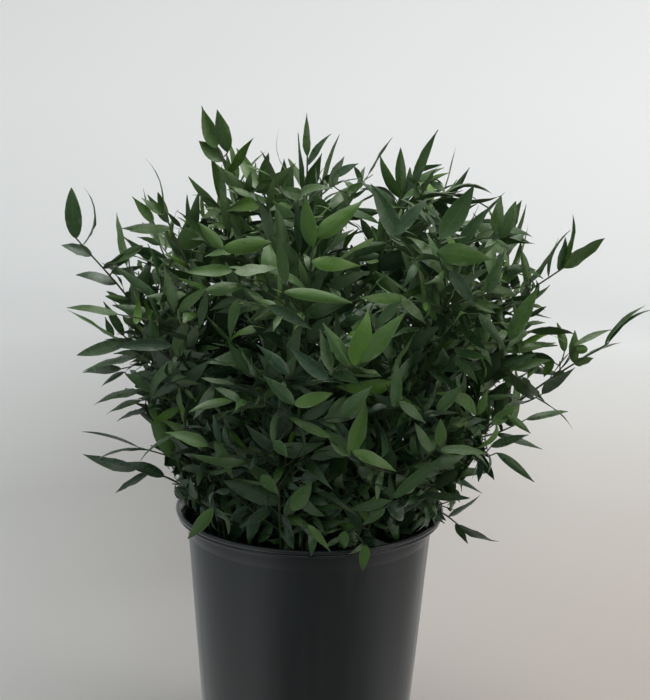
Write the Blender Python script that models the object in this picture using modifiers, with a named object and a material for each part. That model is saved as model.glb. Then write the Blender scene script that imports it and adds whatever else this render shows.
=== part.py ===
"""A bucket of cut ruscus: long leafy stems standing in a black plastic florist's bucket.

The origin is the centre of the bucket's base, +Z is up, and the side seen in the photograph faces -Y.
Each leafy stem is one solid: its axis, its side shoots and its pointed blades grow into each other.
"""

import math
import random

import bmesh
import bpy
from mathutils import Matrix, Vector
from mathutils.bvhtree import BVHTree

MM = 0.001
UP = Vector((0, 0, 1))
WELD = 0.00001

# Bucket
BUCKET_HEIGHT = 300 * MM
BASE_RADIUS = 100 * MM
NECK_RADIUS = 122 * MM
RIM_RADIUS = 133.5 * MM
WALL = 2.2 * MM
FLOOR = 4 * MM
FLARE_HEIGHT = 14 * MM
LIP_DEPTH = 7 * MM
LIP_ROUND = 2.5 * MM
BUCKET_STEPS = 36

# Stems
FOOT_SHARE = 0.62
FOOT_GAP = 0.3 * MM
STEM_RADIUS = 1.8 * MM
TIP_RADIUS = 1.0 * MM
SHOOT_RADIUS = 1.2 * MM
AXIS_STEPS = 4
SHOOT_STEPS = 2

# Blades
BLADE_LENGTH = 56 * MM
BLADE_THICKNESS = 1.1 * MM
BLADE_STATIONS = (0.24, 0.62)
ROOT_SUNK = 0.8 * MM
CLEAR = 0.55 * MM

# The bunch's middle, which shoots and blades turn away from
BUNCH_CENTRE = Vector((8 * MM, 0, 440 * MM))

# Rings of stems spaced evenly round the bucket: how many, radius at the mouth, the tip's radius and
# height, the lean from upright at the mouth in degrees, and how far to the right the ring of tips lies
STEM_RINGS = (
    (8, 112, 124, 338, 22, 12),
    (9, 110, 148, 396, 20, 12),
    (8, 106, 168, 462, 13, 10),
    (7, 86, 172, 536, 9, 14),
    (5, 54, 130, 586, 7, 24),
    (3, 30, 58, 612, 3, 26),
)
# Side shoots on each axis, then blades on an axis and on a shoot: distance back from its end in
# millimetres, and side
SHOOTS = ((44, 1), (98, -1))
AXIS_BLADES = ((0, 0), (13, 1), (28, -1), (70, 1))
SHOOT_BLADES = ((0, 0), (15, -1), (34, 1))
LOWEST_BLADE = BUCKET_HEIGHT - 6 * MM
LOWEST_SHOOT = BUCKET_HEIGHT + 8 * MM
# How much further back the side shoots start on the single stems
LONE_REACH = 62
TRIES = 16
# Single stems that stand out in the photograph: angle and radius at the mouth, lean there, the place of
# the tip, and the blades. Each blade has its distance back from the tip, its bearing as seen from the
# front, its length and width, its roll from facing the front, and how far it curves. Lengths are in
# millimetres and angles in degrees
LONE_STEMS = (
    (176, 92, 12, (-226, -20, 566), (
        (0, 98, 48, 16, 5, 5), (9, 40, 58, 10, 90, 88), (22, 150, 32, 13, 45, 30),
        (38, 24, 42, 13, 50, 15), (58, 161, 42, 13, 50, 15),
    )),
    (158, 24, 3, (-93, 0, 652), (
        (0, 109, 42, 15, 12, 8), (2, 92, 42, 15, -12, -8), (13, 140, 30, 15, 20, 10),
        (27, 55, 44, 12, 40, 10), (40, 100, 34, 8, 40, 10), (52, 30, 40, 9, 50, 20),
    )),
    (100, 22, 3, (-9, 10, 645), (
        (0, 95, 42, 11, 45, -12), (9, 64, 38, 11, -55, 10), (22, 178, 60, 8, -90, 112),
        (34, 70, 40, 14, 20, 10), (48, 150, 42, 14, 30, 20),
    )),
    (12, 88, 4, (238, -10, 546), (
        (0, 38, 49, 17, 25, 10), (1, 69, 53, 9, -70, -15), (5, 74, 33, 11, 20, 8),
        (17, 96, 52, 9, -80, 52), (40, 92, 32, 10, 20, 10), (60, -30, 44, 12, 60, 20),
    )),
    (-6, 98, 34, (280, -40, 480), (
        (0, 66, 54, 9, -85, 48), (4, 71, 56, 9, -80, 50), (34, 40, 46, 7, -85, 30),
        (37, 99, 32, 11, 10, 5), (38, 18, 20, 10, 20, 5), (50, 243, 20, 11, 20, 5),
        (56, 168, 46, 9, 50, 12), (66, 66, 42, 7, 80, -25),
    )),
    (196, 110, 34, (-168, -40, 345), (
        (0, 172, 54, 13, 40, -10), (14, 206, 44, 11, 60, 20), (28, 152, 44, 13, 40, 15),
    )),
    (-19, 111, 50, (147, -22, 289), (
        (0, -32, 47, 13, 40, 15), (3, -64, 26, 9, 30, 10), (14, 32, 38, 13, 45, 10),
        (26, 249, 38, 12, 25, 10),
    )),
    (-20, 34, 3, (80, -30, 616), (
        (0, 95, 44, 11, 15, -6), (4, 127, 44, 11, -25, 10), (12, 56, 46, 12, -30, -14),
        (16, 134, 42, 13, 30, 12), (22, 70, 44, 9, 50, 10),
    )),
    (-4, 74, 6, (173, -20, 572), (
        (0, 58, 45, 15, 20, 10), (7, 86, 50, 12, -15, 8), (13, 112, 40, 12, 40, 10),
        (20, 50, 46, 12, 50, 20),
    )),
    (193, 62, 6, (-141, -40, 596), (
        (0, 88, 52, 6, 88, 32), (3, 148, 27, 9, 30, 8), (8, 108, 27, 8, 20, 8),
        (12, 125, 33, 9, -20, 8), (17, 186, 40, 10, 35, 10), (36, 38, 28, 21, 0, 5),
    )),
)


def rng_for(*keys):
    """A random source of its own for each thing, so that one draw never shifts another."""
    return random.Random("ruscus " + " ".join(str(key) for key in keys))


def polar(radius, angle, height):
    """The point at an angle in radians round the upright axis."""
    return Vector((radius * math.cos(angle), radius * math.sin(angle), height))


def across(vector, axis):
    """The unit vector nearest to a vector that is square to an axis."""
    flat = vector - axis * vector.dot(axis)
    if flat.length < 1e-6:
        flat = axis.orthogonal()
    return flat.normalized()


def turned(vector, axis, angle):
    """The vector turned about an axis."""
    return Matrix.Rotation(angle, 3, axis) @ vector


# Lofted shapes


def loft(root, rings, tip):
    """A closed skin over rings of points, drawn to a point at its root and its tip."""
    count = len(rings[0])
    points = [root] + [point for ring in rings for point in ring] + [tip]
    end = len(points) - 1
    faces = []
    for k in range(count):
        n = (k + 1) % count
        faces.append((0, 1 + n, 1 + k))
        for r in range(len(rings) - 1):
            a, b = 1 + r * count + k, 1 + r * count + n
            c, d = b + count, a + count
            if k % 2 == 0:
                faces += [(a, b, c), (a, c, d)]
            else:
                faces += [(a, b, d), (b, c, d)]
        faces.append((end - count + k, end - count + n, end))
    return points, faces


def blade_outline(t):
    """Half width of a blade at a share of its length, as a share of its greatest half width."""
    return 3.62 * t**0.72 * (1 - t) ** 1.28


class Blade:
    """A pointed ruscus blade: where it is rooted, which way it runs and faces, and how it curves."""

    def __init__(self, root, heading, facing, length, width, arch, twist, fold):
        self.root, self.heading, self.facing = root, heading, facing
        self.length, self.width = length, width
        self.arch, self.twist, self.fold = arch, twist, fold

    def section(self, t):
        """Centre, side and normal of the blade at a share of its length."""
        turn = self.arch * t
        bend = self.arch if abs(self.arch) > 1e-4 else 1e-4
        along = math.sin(bend * t) / bend
        sunk = (1 - math.cos(bend * t)) / bend
        centre = self.root + self.length * (along * self.heading - sunk * self.facing)
        tangent = math.cos(turn) * self.heading - math.sin(turn) * self.facing
        normal = math.cos(turn) * self.facing + math.sin(turn) * self.heading
        side = turned(tangent.cross(normal), tangent, self.twist * t)
        return centre, side, side.cross(tangent)

    def solid(self):
        """The blade as a flat-backed lens: at each station two edges, and a ridge over the midrib."""
        rings = []
        for t in BLADE_STATIONS:
            centre, side, normal = self.section(t)
            half = self.width / 2 * blade_outline(t)
            ridge = BLADE_THICKNESS + half * math.tan(self.fold)
            rings.append([centre + side * half, centre - side * half, centre + normal * ridge])
        return loft(self.root - ROOT_SUNK * self.heading, rings, self.section(1)[0])

    def proxy(self):
        """A box-sectioned skin that stands off the blade by the clearance."""
        rings = []
        for t in BLADE_STATIONS:
            centre, side, normal = self.section(t)
            half = self.width / 2 * blade_outline(t) + CLEAR
            ridge = BLADE_THICKNESS + half * math.tan(self.fold) + CLEAR
            wide, low, high = side * half, normal * -CLEAR, normal * ridge
            rings.append([centre - wide + low, centre + wide + low, centre + wide + high, centre - wide + high])
        tip = self.section(1)[0]
        return loft(self.root, rings, tip + (tip - self.section(0.9)[0]).normalized() * CLEAR)


def tube_proxy(route, radius):
    """A square skin that stands off the tube built round a route by the clearance."""
    skirt = radius * math.sqrt(2) + CLEAR
    rings = []
    for k, point in enumerate(route):
        ahead = (route[min(k + 1, len(route) - 1)] - route[max(k - 1, 0)]).normalized()
        side = across(UP if abs(ahead.z) < 0.8 else Vector((1, 0, 0)), ahead)
        other = ahead.cross(side)
        rings.append([point + skirt * v for v in (-side, other, side, -other)])
    return loft(route[0], rings, route[-1] + ahead * CLEAR)


# Clearance between pieces


class Room:
    """What has been placed so far, in a grid, to keep each new piece clear of the others."""

    CELL = 40 * MM

    def __init__(self):
        self.cells = {}

    def keys(self, points, faces):
        found = set()
        for face in faces:
            corners = [points[i] for i in face]
            low = [math.floor(min(c[a] for c in corners) / self.CELL) for a in range(3)]
            high = [math.floor(max(c[a] for c in corners) / self.CELL) for a in range(3)]
            for x in range(low[0], high[0] + 1):
                for y in range(low[1], high[1] + 1):
                    for z in range(low[2], high[2] + 1):
                        found.add((x, y, z))
        return found

    def clear(self, shape, *kin):
        """Whether a closed shape crosses nothing that stands here but its kin, which it may grow into."""
        tree = BVHTree.FromPolygons(*shape)
        seen = {id(other) for other in kin}
        for key in self.keys(*shape):
            for other in self.cells.get(key, ()):
                if id(other) not in seen:
                    seen.add(id(other))
                    if tree.overlap(other):
                        return False
        return True

    def add(self, shape):
        """Places a shape, and gives it back in the form that it is known by here."""
        tree = BVHTree.FromPolygons(*shape)
        for key in self.keys(*shape):
            self.cells.setdefault(key, []).append(tree)
        return tree


# Bucket


def bucket_profile():
    """Radius and height down the bucket's section: up its inside, over the flared lip, down its outside."""
    flare = BUCKET_HEIGHT - FLARE_HEIGHT
    inner_neck = NECK_RADIUS - WALL
    return (
        (0, FLOOR),
        (BASE_RADIUS - WALL, FLOOR),
        (inner_neck, flare),
        (inner_neck + 2 * MM, BUCKET_HEIGHT - LIP_DEPTH),
        (RIM_RADIUS - LIP_DEPTH, BUCKET_HEIGHT - LIP_ROUND / 2),
        (RIM_RADIUS - LIP_ROUND, BUCKET_HEIGHT),
        (RIM_RADIUS, BUCKET_HEIGHT - LIP_ROUND),
        (RIM_RADIUS, BUCKET_HEIGHT - LIP_DEPTH),
        (RIM_RADIUS - LIP_ROUND, BUCKET_HEIGHT - LIP_DEPTH - 1 * MM),
        (NECK_RADIUS + LIP_ROUND, BUCKET_HEIGHT - LIP_DEPTH - 2 * MM),
        (NECK_RADIUS, flare - WALL),
        (BASE_RADIUS + 0.5 * MM, 2 * MM),
        (BASE_RADIUS - 2 * MM, 0),
        (0, 0),
    )


def build_bucket():
    """The bucket, turned from its section."""
    mesh = bpy.data.meshes.new("bucket")
    points = [(radius, 0, height) for radius, height in bucket_profile()]
    mesh.from_pydata(points, [(k, k + 1) for k in range(len(points) - 1)], [])
    bucket = bpy.data.objects.new("bucket", mesh)
    PARTS.objects.link(bucket)
    screw = bucket.modifiers.new("turn", "SCREW")
    screw.steps = screw.render_steps = BUCKET_STEPS
    screw.use_merge_vertices = True
    screw.merge_threshold = WELD
    settle(bucket)
    bucket.data.set_sharp_from_angle(angle=math.radians(40))
    return bucket


def bucket_proxy():
    """The bucket's wall and lip as the triangles that stems and blades stay clear of."""
    profile = bucket_profile()[1:-1]
    points, faces = [], []
    for k in range(BUCKET_STEPS):
        points += [polar(r, math.tau * k / BUCKET_STEPS, z) for r, z in profile]
    count = len(profile)
    for k in range(BUCKET_STEPS):
        near, far = k * count, (k + 1) % BUCKET_STEPS * count
        for i in range(count - 1):
            a, b, c, d = near + i, near + i + 1, far + i + 1, far + i
            faces += [(a, b, c), (a, c, d)]
    return points, faces


# Where the stems, shoots and blades grow


class Plan:
    """Where a stem stands and reaches. play is how far it is left to chance."""

    def __init__(self, angle, radius, lean, tip, play, blades=None):
        self.angle, self.radius, self.lean = angle, radius * MM, math.radians(lean)
        self.tip, self.play, self.blades = tip, play, blades


def stem_plans():
    """The single stems, then the rings."""
    plans = []
    for angle, radius, lean, tip, blades in LONE_STEMS:
        plans.append(Plan(math.radians(angle), radius, lean, Vector(tip) * MM, 0, blades))
    for ring, (count, radius, tip_radius, tip_height, lean, middle) in enumerate(STEM_RINGS):
        for k in range(count):
            angle = math.tau * (k + 0.37 * ring) / count
            tip = polar(tip_radius * MM, angle, tip_height * MM) + Vector((middle * MM, 0, 0))
            plans.append(Plan(angle, radius, lean, tip, 1))
    return plans


def axis_route(plan, rng):
    """The stem's line from its foot on the bucket's floor to its tip, a little off its plan."""
    angle = plan.angle + rng.uniform(-0.09, 0.09) * (0.3 + plan.play)
    radius = plan.radius * rng.uniform(0.92, 1.0)
    lean = plan.lean * rng.uniform(0.85, 1.1)
    shift = Vector((rng.uniform(-16, 16), rng.uniform(-16, 16), rng.uniform(-18, 18))) * MM
    tip = plan.tip + shift * plan.play
    foot = polar(radius * FOOT_SHARE, angle + rng.uniform(-0.12, 0.12), FLOOR + FOOT_GAP + STEM_RADIUS * 0.4)
    mouth = polar(radius, angle, BUCKET_HEIGHT)
    leaving = math.sin(lean) * across(tip - mouth, UP) + math.cos(lean) * UP
    bend = mouth + leaving * (tip - mouth).length * 0.52
    route = [foot]
    for k in range(AXIS_STEPS + 1):
        t = k / AXIS_STEPS
        route.append((1 - t) ** 2 * mouth + 2 * t * (1 - t) * bend + t * t * tip)
    return route


def shoot_route(start, heading, length, rise):
    """A side shoot that leaves along heading and bends by rise radians towards the light."""
    lift = across(UP, heading)
    step = length / SHOOT_STEPS
    route = [start]
    for k in range(SHOOT_STEPS):
        turn = rise * (k + 0.5) / SHOOT_STEPS
        route.append(route[-1] + step * (math.cos(turn) * heading + math.sin(turn) * lift))
    return route


def along(route, distance):
    """Point and direction on a route, at a distance back from its end."""
    left = distance
    for a, b in zip(route[-2::-1], route[:0:-1]):
        if left <= (b - a).length:
            break
        left -= (b - a).length
    heading = (b - a).normalized()
    return b - heading * left, heading


def shoot_at(axis, back, side, rng, size=1.0):
    """A side shoot that grows at a distance back from the axis's end. side is -1 or 1."""
    start, up_stem = along(axis, back)
    away = across(start - BUNCH_CENTRE, up_stem)
    sideways = up_stem.cross(away) * side
    swing = rng.uniform(-0.2, 0.95)
    leaving = math.cos(swing) * sideways + math.sin(swing) * away
    spread = rng.uniform(0.6, 1.0)
    heading = math.cos(spread) * up_stem + math.sin(spread) * leaving
    length = rng.uniform(52, 80) * MM * size
    return shoot_route(start, heading.normalized(), length, rng.uniform(-0.5, 0.45))


def blade_at(route, distance, side, rng, size=1.0):
    """A blade rooted at a distance back from a shoot's end. side is -1 or 1, or 0 for the end blade."""
    root, forward = along(route, distance)
    away = (root - BUNCH_CENTRE).normalized()
    normal = across(0.8 * UP + 0.5 * away + 0.25 * Vector((rng.gauss(0, 1), rng.gauss(0, 1), 0)), forward)
    normal = turned(normal, forward, rng.gauss(0, 0.3))
    spread = rng.uniform(0.55, 1.05) * side + rng.gauss(0, 0.12)
    heading = turned(forward, normal, -spread)
    heading = turned(heading, heading.cross(normal), rng.gauss(0.05, 0.2)).normalized()
    facing = turned(across(normal, heading), heading, rng.gauss(0, 0.35))
    length = BLADE_LENGTH * rng.uniform(0.78, 1.16) * size
    width = length * rng.uniform(0.25, 0.35)
    upright = max(0.0, heading.z)
    arch = rng.uniform(0.15, 0.95) * (1 - upright) + rng.uniform(-0.5, 0.5) * upright
    return Blade(root, heading, facing, length, width, arch, rng.gauss(0, 0.3), rng.uniform(0.02, 0.12))


def lone_blade(route, back, bearing, length, width, roll, arch):
    """A blade of a single stem, from its place as seen from the front."""
    root = along(route, back * MM)[0]
    heading = Vector((math.cos(math.radians(bearing)), 0, math.sin(math.radians(bearing))))
    facing = turned(Vector((0, -1, 0)), heading, math.radians(roll))
    return Blade(root, heading, facing, length * MM, width * MM, math.radians(arch), 0.1, 0.06)


class Stem:
    """One cut stem: its axis, the side shoots on it, and the blades on both."""

    def __init__(self, name, plan, axis, skin):
        self.name, self.plan = name, plan
        self.routes, self.skins = [axis], [skin]
        self.blades = []


def place_axes(room):
    """Every stem's axis, redrawn until it is clear of the others."""
    stems = []
    for i, plan in enumerate(stem_plans()):
        for attempt in range(TRIES * 8):
            axis = axis_route(plan, rng_for("axis", i, attempt))
            proxy = tube_proxy(axis, STEM_RADIUS)
            if room.clear(proxy):
                stems.append(Stem(f"stem_{len(stems) + 1:02d}", plan, axis, room.add(proxy)))
                break
    return stems


def place_lone_blades(stems, room):
    """The blades of the single stems, each where the photograph has it."""
    for stem in stems:
        kin = [stem.skins[0]]
        for sizes in stem.plan.blades or ():
            blade = lone_blade(stem.routes[0], *sizes)
            if room.clear(blade.proxy(), *kin):
                kin.append(room.add(blade.solid()))
                stem.blades.append(blade)


def place_shoots(stems, room):
    """The side shoots, redrawn until they are clear, or left off."""
    for i, stem in enumerate(stems):
        for k, (back, side) in enumerate(SHOOTS):
            if stem.plan.blades:
                back += LONE_REACH
            if along(stem.routes[0], back * MM)[0].z < LOWEST_SHOOT:
                continue
            for attempt in range(TRIES):
                side = -side
                shoot = shoot_at(stem.routes[0], back * MM, side, rng_for("shoot", i, k, attempt))
                proxy = tube_proxy(shoot, SHOOT_RADIUS)
                if room.clear(proxy, stem.skins[0]):
                    stem.routes.append(shoot)
                    stem.skins.append(room.add(proxy))
                    break


def place_blades(stems, room):
    """The blades, end blades first, redrawn until they are clear, or left off."""
    for n in range(len(AXIS_BLADES)):
        for i, stem in enumerate(stems):
            for k, (route, skin) in enumerate(zip(stem.routes, stem.skins)):
                plan = AXIS_BLADES if k == 0 else SHOOT_BLADES
                if n >= len(plan) or (k == 0 and stem.plan.blades):
                    continue
                back, side = plan[n]
                if along(route, back * MM)[0].z < LOWEST_BLADE:
                    continue
                for attempt in range(TRIES):
                    blade = blade_at(route, back * MM, side, rng_for("blade", i, k, n, attempt))
                    if room.clear(blade.proxy(), skin):
                        room.add(blade.solid())
                        stem.blades.append(blade)
                        break


# Objects


def settle(obj):
    """Replaces an object's mesh with what its modifiers make of it."""
    graph = bpy.context.evaluated_depsgraph_get()
    mesh = bpy.data.meshes.new_from_object(obj.evaluated_get(graph))
    obj.modifiers.clear()
    mesh.materials.clear()
    obj.data = mesh


def material(name, color, roughness):
    """A plain finish. Colours are linear."""
    made = bpy.data.materials.new(name)
    made.use_nodes = True
    shader = made.node_tree.nodes["Principled BSDF"]
    shader.inputs["Base Color"].default_value = (*color, 1)
    shader.inputs["Roughness"].default_value = roughness
    shader.inputs["Metallic"].default_value = 0
    made.diffuse_color = (*color, 1)
    return made


def tube(name, route, first_radius, last_radius, collection):
    """A square tube along a route that thins towards its end, as a mesh object."""
    curve = bpy.data.curves.new(name, "CURVE")
    curve.dimensions = "3D"
    curve.bevel_depth = first_radius
    curve.bevel_resolution = 0
    curve.use_fill_caps = True
    spline = curve.splines.new("POLY")
    spline.points.add(len(route) - 1)
    for k, (point, place) in enumerate(zip(spline.points, route)):
        point.co = (*place, 1)
        point.radius = 1 + (last_radius / first_radius - 1) * k / (len(route) - 1)
    line = bpy.data.objects.new(name + "_line", curve)
    collection.objects.link(line)
    graph = bpy.context.evaluated_depsgraph_get()
    mesh = bpy.data.meshes.new_from_object(line.evaluated_get(graph))
    bpy.data.objects.remove(line)
    welded = bmesh.new()
    welded.from_mesh(mesh)
    bmesh.ops.remove_doubles(welded, verts=welded.verts, dist=WELD)
    bmesh.ops.triangulate(welded, faces=welded.faces)
    bmesh.ops.recalc_face_normals(welded, faces=welded.faces)
    welded.to_mesh(mesh)
    welded.free()
    obj = bpy.data.objects.new(name, mesh)
    collection.objects.link(obj)
    return obj


def merge_flats(mesh):
    """Drops the extra points that a union leaves along straight edges."""
    skin = bmesh.new()
    skin.from_mesh(mesh)
    bmesh.ops.dissolve_limit(skin, angle_limit=math.radians(0.2), verts=skin.verts, edges=skin.edges)
    bmesh.ops.triangulate(skin, faces=skin.faces)
    skin.to_mesh(mesh)
    skin.free()


def build_stem(stem):
    """The stem as one solid: a union of its axis with its shoots and blades."""
    pieces = bpy.data.collections.new(stem.name + "_pieces")
    bpy.context.scene.collection.children.link(pieces)
    for k, shoot in enumerate(stem.routes[1:]):
        tube(f"{stem.name}_shoot_{k}", shoot, SHOOT_RADIUS, TIP_RADIUS, pieces)
    for k, blade in enumerate(stem.blades):
        mesh = bpy.data.meshes.new(f"{stem.name}_blade_{k}")
        points, faces = blade.solid()
        mesh.from_pydata(points, [], faces)
        pieces.objects.link(bpy.data.objects.new(mesh.name, mesh))
    obj = tube(stem.name, stem.routes[0], STEM_RADIUS, TIP_RADIUS, PARTS)
    union = obj.modifiers.new("fuse", "BOOLEAN")
    union.operation = "UNION"
    union.operand_type = "COLLECTION"
    union.collection = pieces
    union.solver = "MANIFOLD"
    settle(obj)
    merge_flats(obj.data)
    for piece in list(pieces.objects):
        bpy.data.objects.remove(piece)
    bpy.data.collections.remove(pieces)
    return obj


for old in list(bpy.data.objects):
    bpy.data.objects.remove(old)
PARTS = bpy.data.collections.new("ruscus_bucket")
bpy.context.scene.collection.children.link(PARTS)
BLACK_PLASTIC = material("black_plastic", (0.018, 0.019, 0.021), 0.42)
LEAF_GREEN = material("leaf_green", (0.035, 0.1, 0.022), 0.38)

build_bucket().data.materials.append(BLACK_PLASTIC)
space = Room()
space.add(bucket_proxy())
bunch = place_axes(space)
place_lone_blades(bunch, space)
place_shoots(bunch, space)
place_blades(bunch, space)
for leafy_stem in bunch:
    build_stem(leafy_stem).data.materials.append(LEAF_GREEN)
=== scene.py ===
"""The bucket of cut ruscus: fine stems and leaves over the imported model, a turned bucket, and the studio."""

import itertools
import math
import random

import bpy
import numpy as np
from mathutils import Matrix, Vector
from mathutils.bvhtree import BVHTree


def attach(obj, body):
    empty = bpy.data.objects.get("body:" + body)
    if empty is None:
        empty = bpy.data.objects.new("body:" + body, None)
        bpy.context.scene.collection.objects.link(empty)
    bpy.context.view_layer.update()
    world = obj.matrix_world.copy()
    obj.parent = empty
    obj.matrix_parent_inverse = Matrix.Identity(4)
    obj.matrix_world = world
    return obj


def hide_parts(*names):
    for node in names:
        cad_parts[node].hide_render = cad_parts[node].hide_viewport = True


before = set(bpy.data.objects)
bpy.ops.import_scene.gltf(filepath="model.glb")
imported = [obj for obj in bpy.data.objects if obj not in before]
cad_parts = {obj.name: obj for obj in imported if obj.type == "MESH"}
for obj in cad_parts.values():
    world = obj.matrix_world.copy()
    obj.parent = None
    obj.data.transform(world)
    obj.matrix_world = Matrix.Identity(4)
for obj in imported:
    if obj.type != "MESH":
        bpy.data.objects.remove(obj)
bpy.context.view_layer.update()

MM = 0.001
UP = Vector((0, 0, 1))
TO_FRONT = Vector((0, -1, 0))

# Camera: its place in metres, its tilts in degrees and its lens in millimetres
CAMERA_PLACE = (0.0119, -1.418, 0.788)
CAMERA_DOWN = 13.1
CAMERA_ROLL = 1.25
CAMERA_LENS = 76.7
SENSOR = 36

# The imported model's growth, which the fine stems and leaves follow
BUCKET_HEIGHT = 300 * MM
BASE_RADIUS = 100 * MM
NECK_RADIUS = 122 * MM
RIM_RADIUS = 133.5 * MM
WALL = 2.2 * MM
FLOOR = 4 * MM
FLARE_HEIGHT = 14 * MM
LIP_DEPTH = 7 * MM
LIP_ROUND = 2.5 * MM
BUCKET_STEPS = 36
FOOT_SHARE = 0.62
FOOT_GAP = 0.3 * MM
STEM_RADIUS = 1.8 * MM
SHOOT_RADIUS = 1.2 * MM
AXIS_STEPS = 4
SHOOT_STEPS = 2
BLADE_LENGTH = 56 * MM
BLADE_THICKNESS = 1.1 * MM
BLADE_STATIONS = (0.24, 0.62)
CLEAR = 0.55 * MM
BUNCH_CENTRE = Vector((8 * MM, 0, 440 * MM))
# Rings of stems: how many, their radius at the bucket's mouth, the radius and the height of their tips, their
# lean in degrees, and how far to the right the ring of tips has its middle
STEM_RINGS = (
    (8, 112, 124, 338, 22, 12),
    (9, 110, 148, 396, 20, 12),
    (8, 106, 168, 462, 13, 10),
    (7, 86, 172, 536, 9, 14),
    (5, 54, 130, 586, 7, 24),
    (3, 30, 58, 612, 3, 26),
)
# Shoots and blades: how far back from the end each grows, in millimetres, and on which side
SHOOTS = ((44, 1), (98, -1))
AXIS_BLADES = ((0, 0), (13, 1), (28, -1), (70, 1))
SHOOT_BLADES = ((0, 0), (15, -1), (34, 1))
LOWEST_BLADE = BUCKET_HEIGHT - 6 * MM
LOWEST_SHOOT = BUCKET_HEIGHT + 8 * MM
LONE_REACH = 62
LONE_FRESH = 0.1
TRIES = 16
AXIS_TRIES = TRIES * 8
# Single stems: the angle and the radius at the bucket's mouth, the lean, the tip, and the blades. A blade has
# how far back from the tip it grows, then its bearing, length, width, roll and arch as seen from the front
LONE_STEMS = (
    (176, 92, 12, (-226, -20, 566), (
        (0, 98, 48, 16, 5, 5), (9, 40, 58, 10, 90, 88), (22, 150, 32, 13, 45, 30),
        (38, 24, 42, 13, 50, 15), (58, 161, 42, 13, 50, 15),
    )),
    (158, 24, 3, (-93, 0, 652), (
        (0, 109, 42, 15, 12, 8), (2, 92, 42, 15, -12, -8), (13, 140, 30, 15, 20, 10),
        (27, 55, 44, 12, 40, 10), (40, 100, 34, 8, 40, 10), (52, 30, 40, 9, 50, 20),
    )),
    (100, 22, 3, (-9, 10, 645), (
        (0, 95, 42, 11, 45, -12), (9, 64, 38, 11, -55, 10), (22, 178, 60, 8, -90, 112),
        (34, 70, 40, 14, 20, 10), (48, 150, 42, 14, 30, 20),
    )),
    (12, 88, 4, (238, -10, 546), (
        (0, 38, 49, 17, 25, 10), (1, 69, 53, 9, -70, -15), (5, 74, 33, 11, 20, 8),
        (17, 96, 52, 9, -80, 52), (40, 92, 32, 10, 20, 10), (60, -30, 44, 12, 60, 20),
    )),
    (-6, 98, 34, (280, -40, 480), (
        (0, 66, 54, 9, -85, 48), (4, 71, 56, 9, -80, 50), (34, 40, 46, 7, -85, 30),
        (37, 99, 32, 11, 10, 5), (38, 18, 20, 10, 20, 5), (50, 243, 20, 11, 20, 5),
        (56, 168, 46, 9, 50, 12), (66, 66, 42, 7, 80, -25),
    )),
    (196, 110, 34, (-168, -40, 345), (
        (0, 172, 54, 13, 40, -10), (14, 206, 44, 11, 60, 20), (28, 152, 44, 13, 40, 15),
    )),
    (-19, 111, 50, (147, -22, 289), (
        (0, -32, 47, 13, 40, 15), (3, -64, 26, 9, 30, 10), (14, 32, 38, 13, 45, 10),
        (26, 249, 38, 12, 25, 10),
    )),
    (-20, 34, 3, (80, -30, 616), (
        (0, 95, 44, 11, 15, -6), (4, 127, 44, 11, -25, 10), (12, 56, 46, 12, -30, -14),
        (16, 134, 42, 13, 30, 12), (22, 70, 44, 9, 50, 10),
    )),
    (-4, 74, 6, (173, -20, 572), (
        (0, 58, 45, 15, 20, 10), (7, 86, 50, 12, -15, 8), (13, 112, 40, 12, 40, 10),
        (20, 50, 46, 12, 50, 20),
    )),
    (193, 62, 6, (-141, -40, 596), (
        (0, 88, 52, 6, 88, 32), (3, 148, 27, 9, 30, 8), (8, 108, 27, 8, 20, 8),
        (12, 125, 33, 9, -20, 8), (17, 186, 40, 10, 35, 10), (36, 38, 28, 21, 0, 5),
    )),
)

# Fine growth. The bush's outline has its height, its middle and its radius, in millimetres
OUTLINE = (
    (285, 10, 134), (304, 14, 138), (335, 8, 146), (382, 14, 160), (428, 12, 182), (473, 12, 190),
    (517, 14, 194), (562, 26, 188), (590, 26, 172), (619, 30, 134), (645, 28, 76), (655, 24, 0),
)
# How deep under the outline leaves still grow, how far narrow ones may pass it, and how much narrower packed
# blades are made that pass it
SHELL = 185 * MM
RAGGED = 34 * MM
SLIM = 0.6
BUSH_HEIGHT = 350 * MM
LOW_REACH = 170 * MM
# The clearance and the thickness that added leaves are kept clear by
TIGHT = 0.12 * MM
THIN = 0.5 * MM
TWIG_START = 14
LONE_TWIG_START = 74
TWIG_STEP = 10
TWIG_RADIUS = SHOOT_RADIUS * 0.75
TWIG_CLEAR_RADIUS = SHOOT_RADIUS * 0.6
TWIG_PAST = 4 * MM
LOWEST_TWIG = BUCKET_HEIGHT - 4 * MM
LOWEST_TWIG_END = BUCKET_HEIGHT - 2 * MM
TWIG_LEAVES = (
    (0, 0), (5, 1), (10, -1), (16, 1), (22, -1), (28, 1), (35, -1), (42, 1), (50, -1), (58, 1), (67, -1),
)
AXIS_LEAF_START = 36
AXIS_LEAF_STEP = 11
LEAF_GAP = 5 * MM
ROOT_CLEAR = 4 * MM
LOWEST_LEAF = BUCKET_HEIGHT - 12 * MM
LOWEST_AXIS_LEAF = BUCKET_HEIGHT - 8 * MM
LEAF_SIZES = (0.42, 0.5, 0.58, 0.67, 0.76, 0.87, 1.0)
FINE_TRIES = 10
TIP_THIN = 0.6 * MM
ROOT_SUNK = 0.8 * MM

# The end blades of one single stem, which the photograph shows side by side: each one's turn in degrees as
# seen from the front, and how far its root is moved to the right and up in millimetres
SPLAYED_STEM = 1
SPLAYS = ((6, -2, 0), (11, 8, -2))

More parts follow.
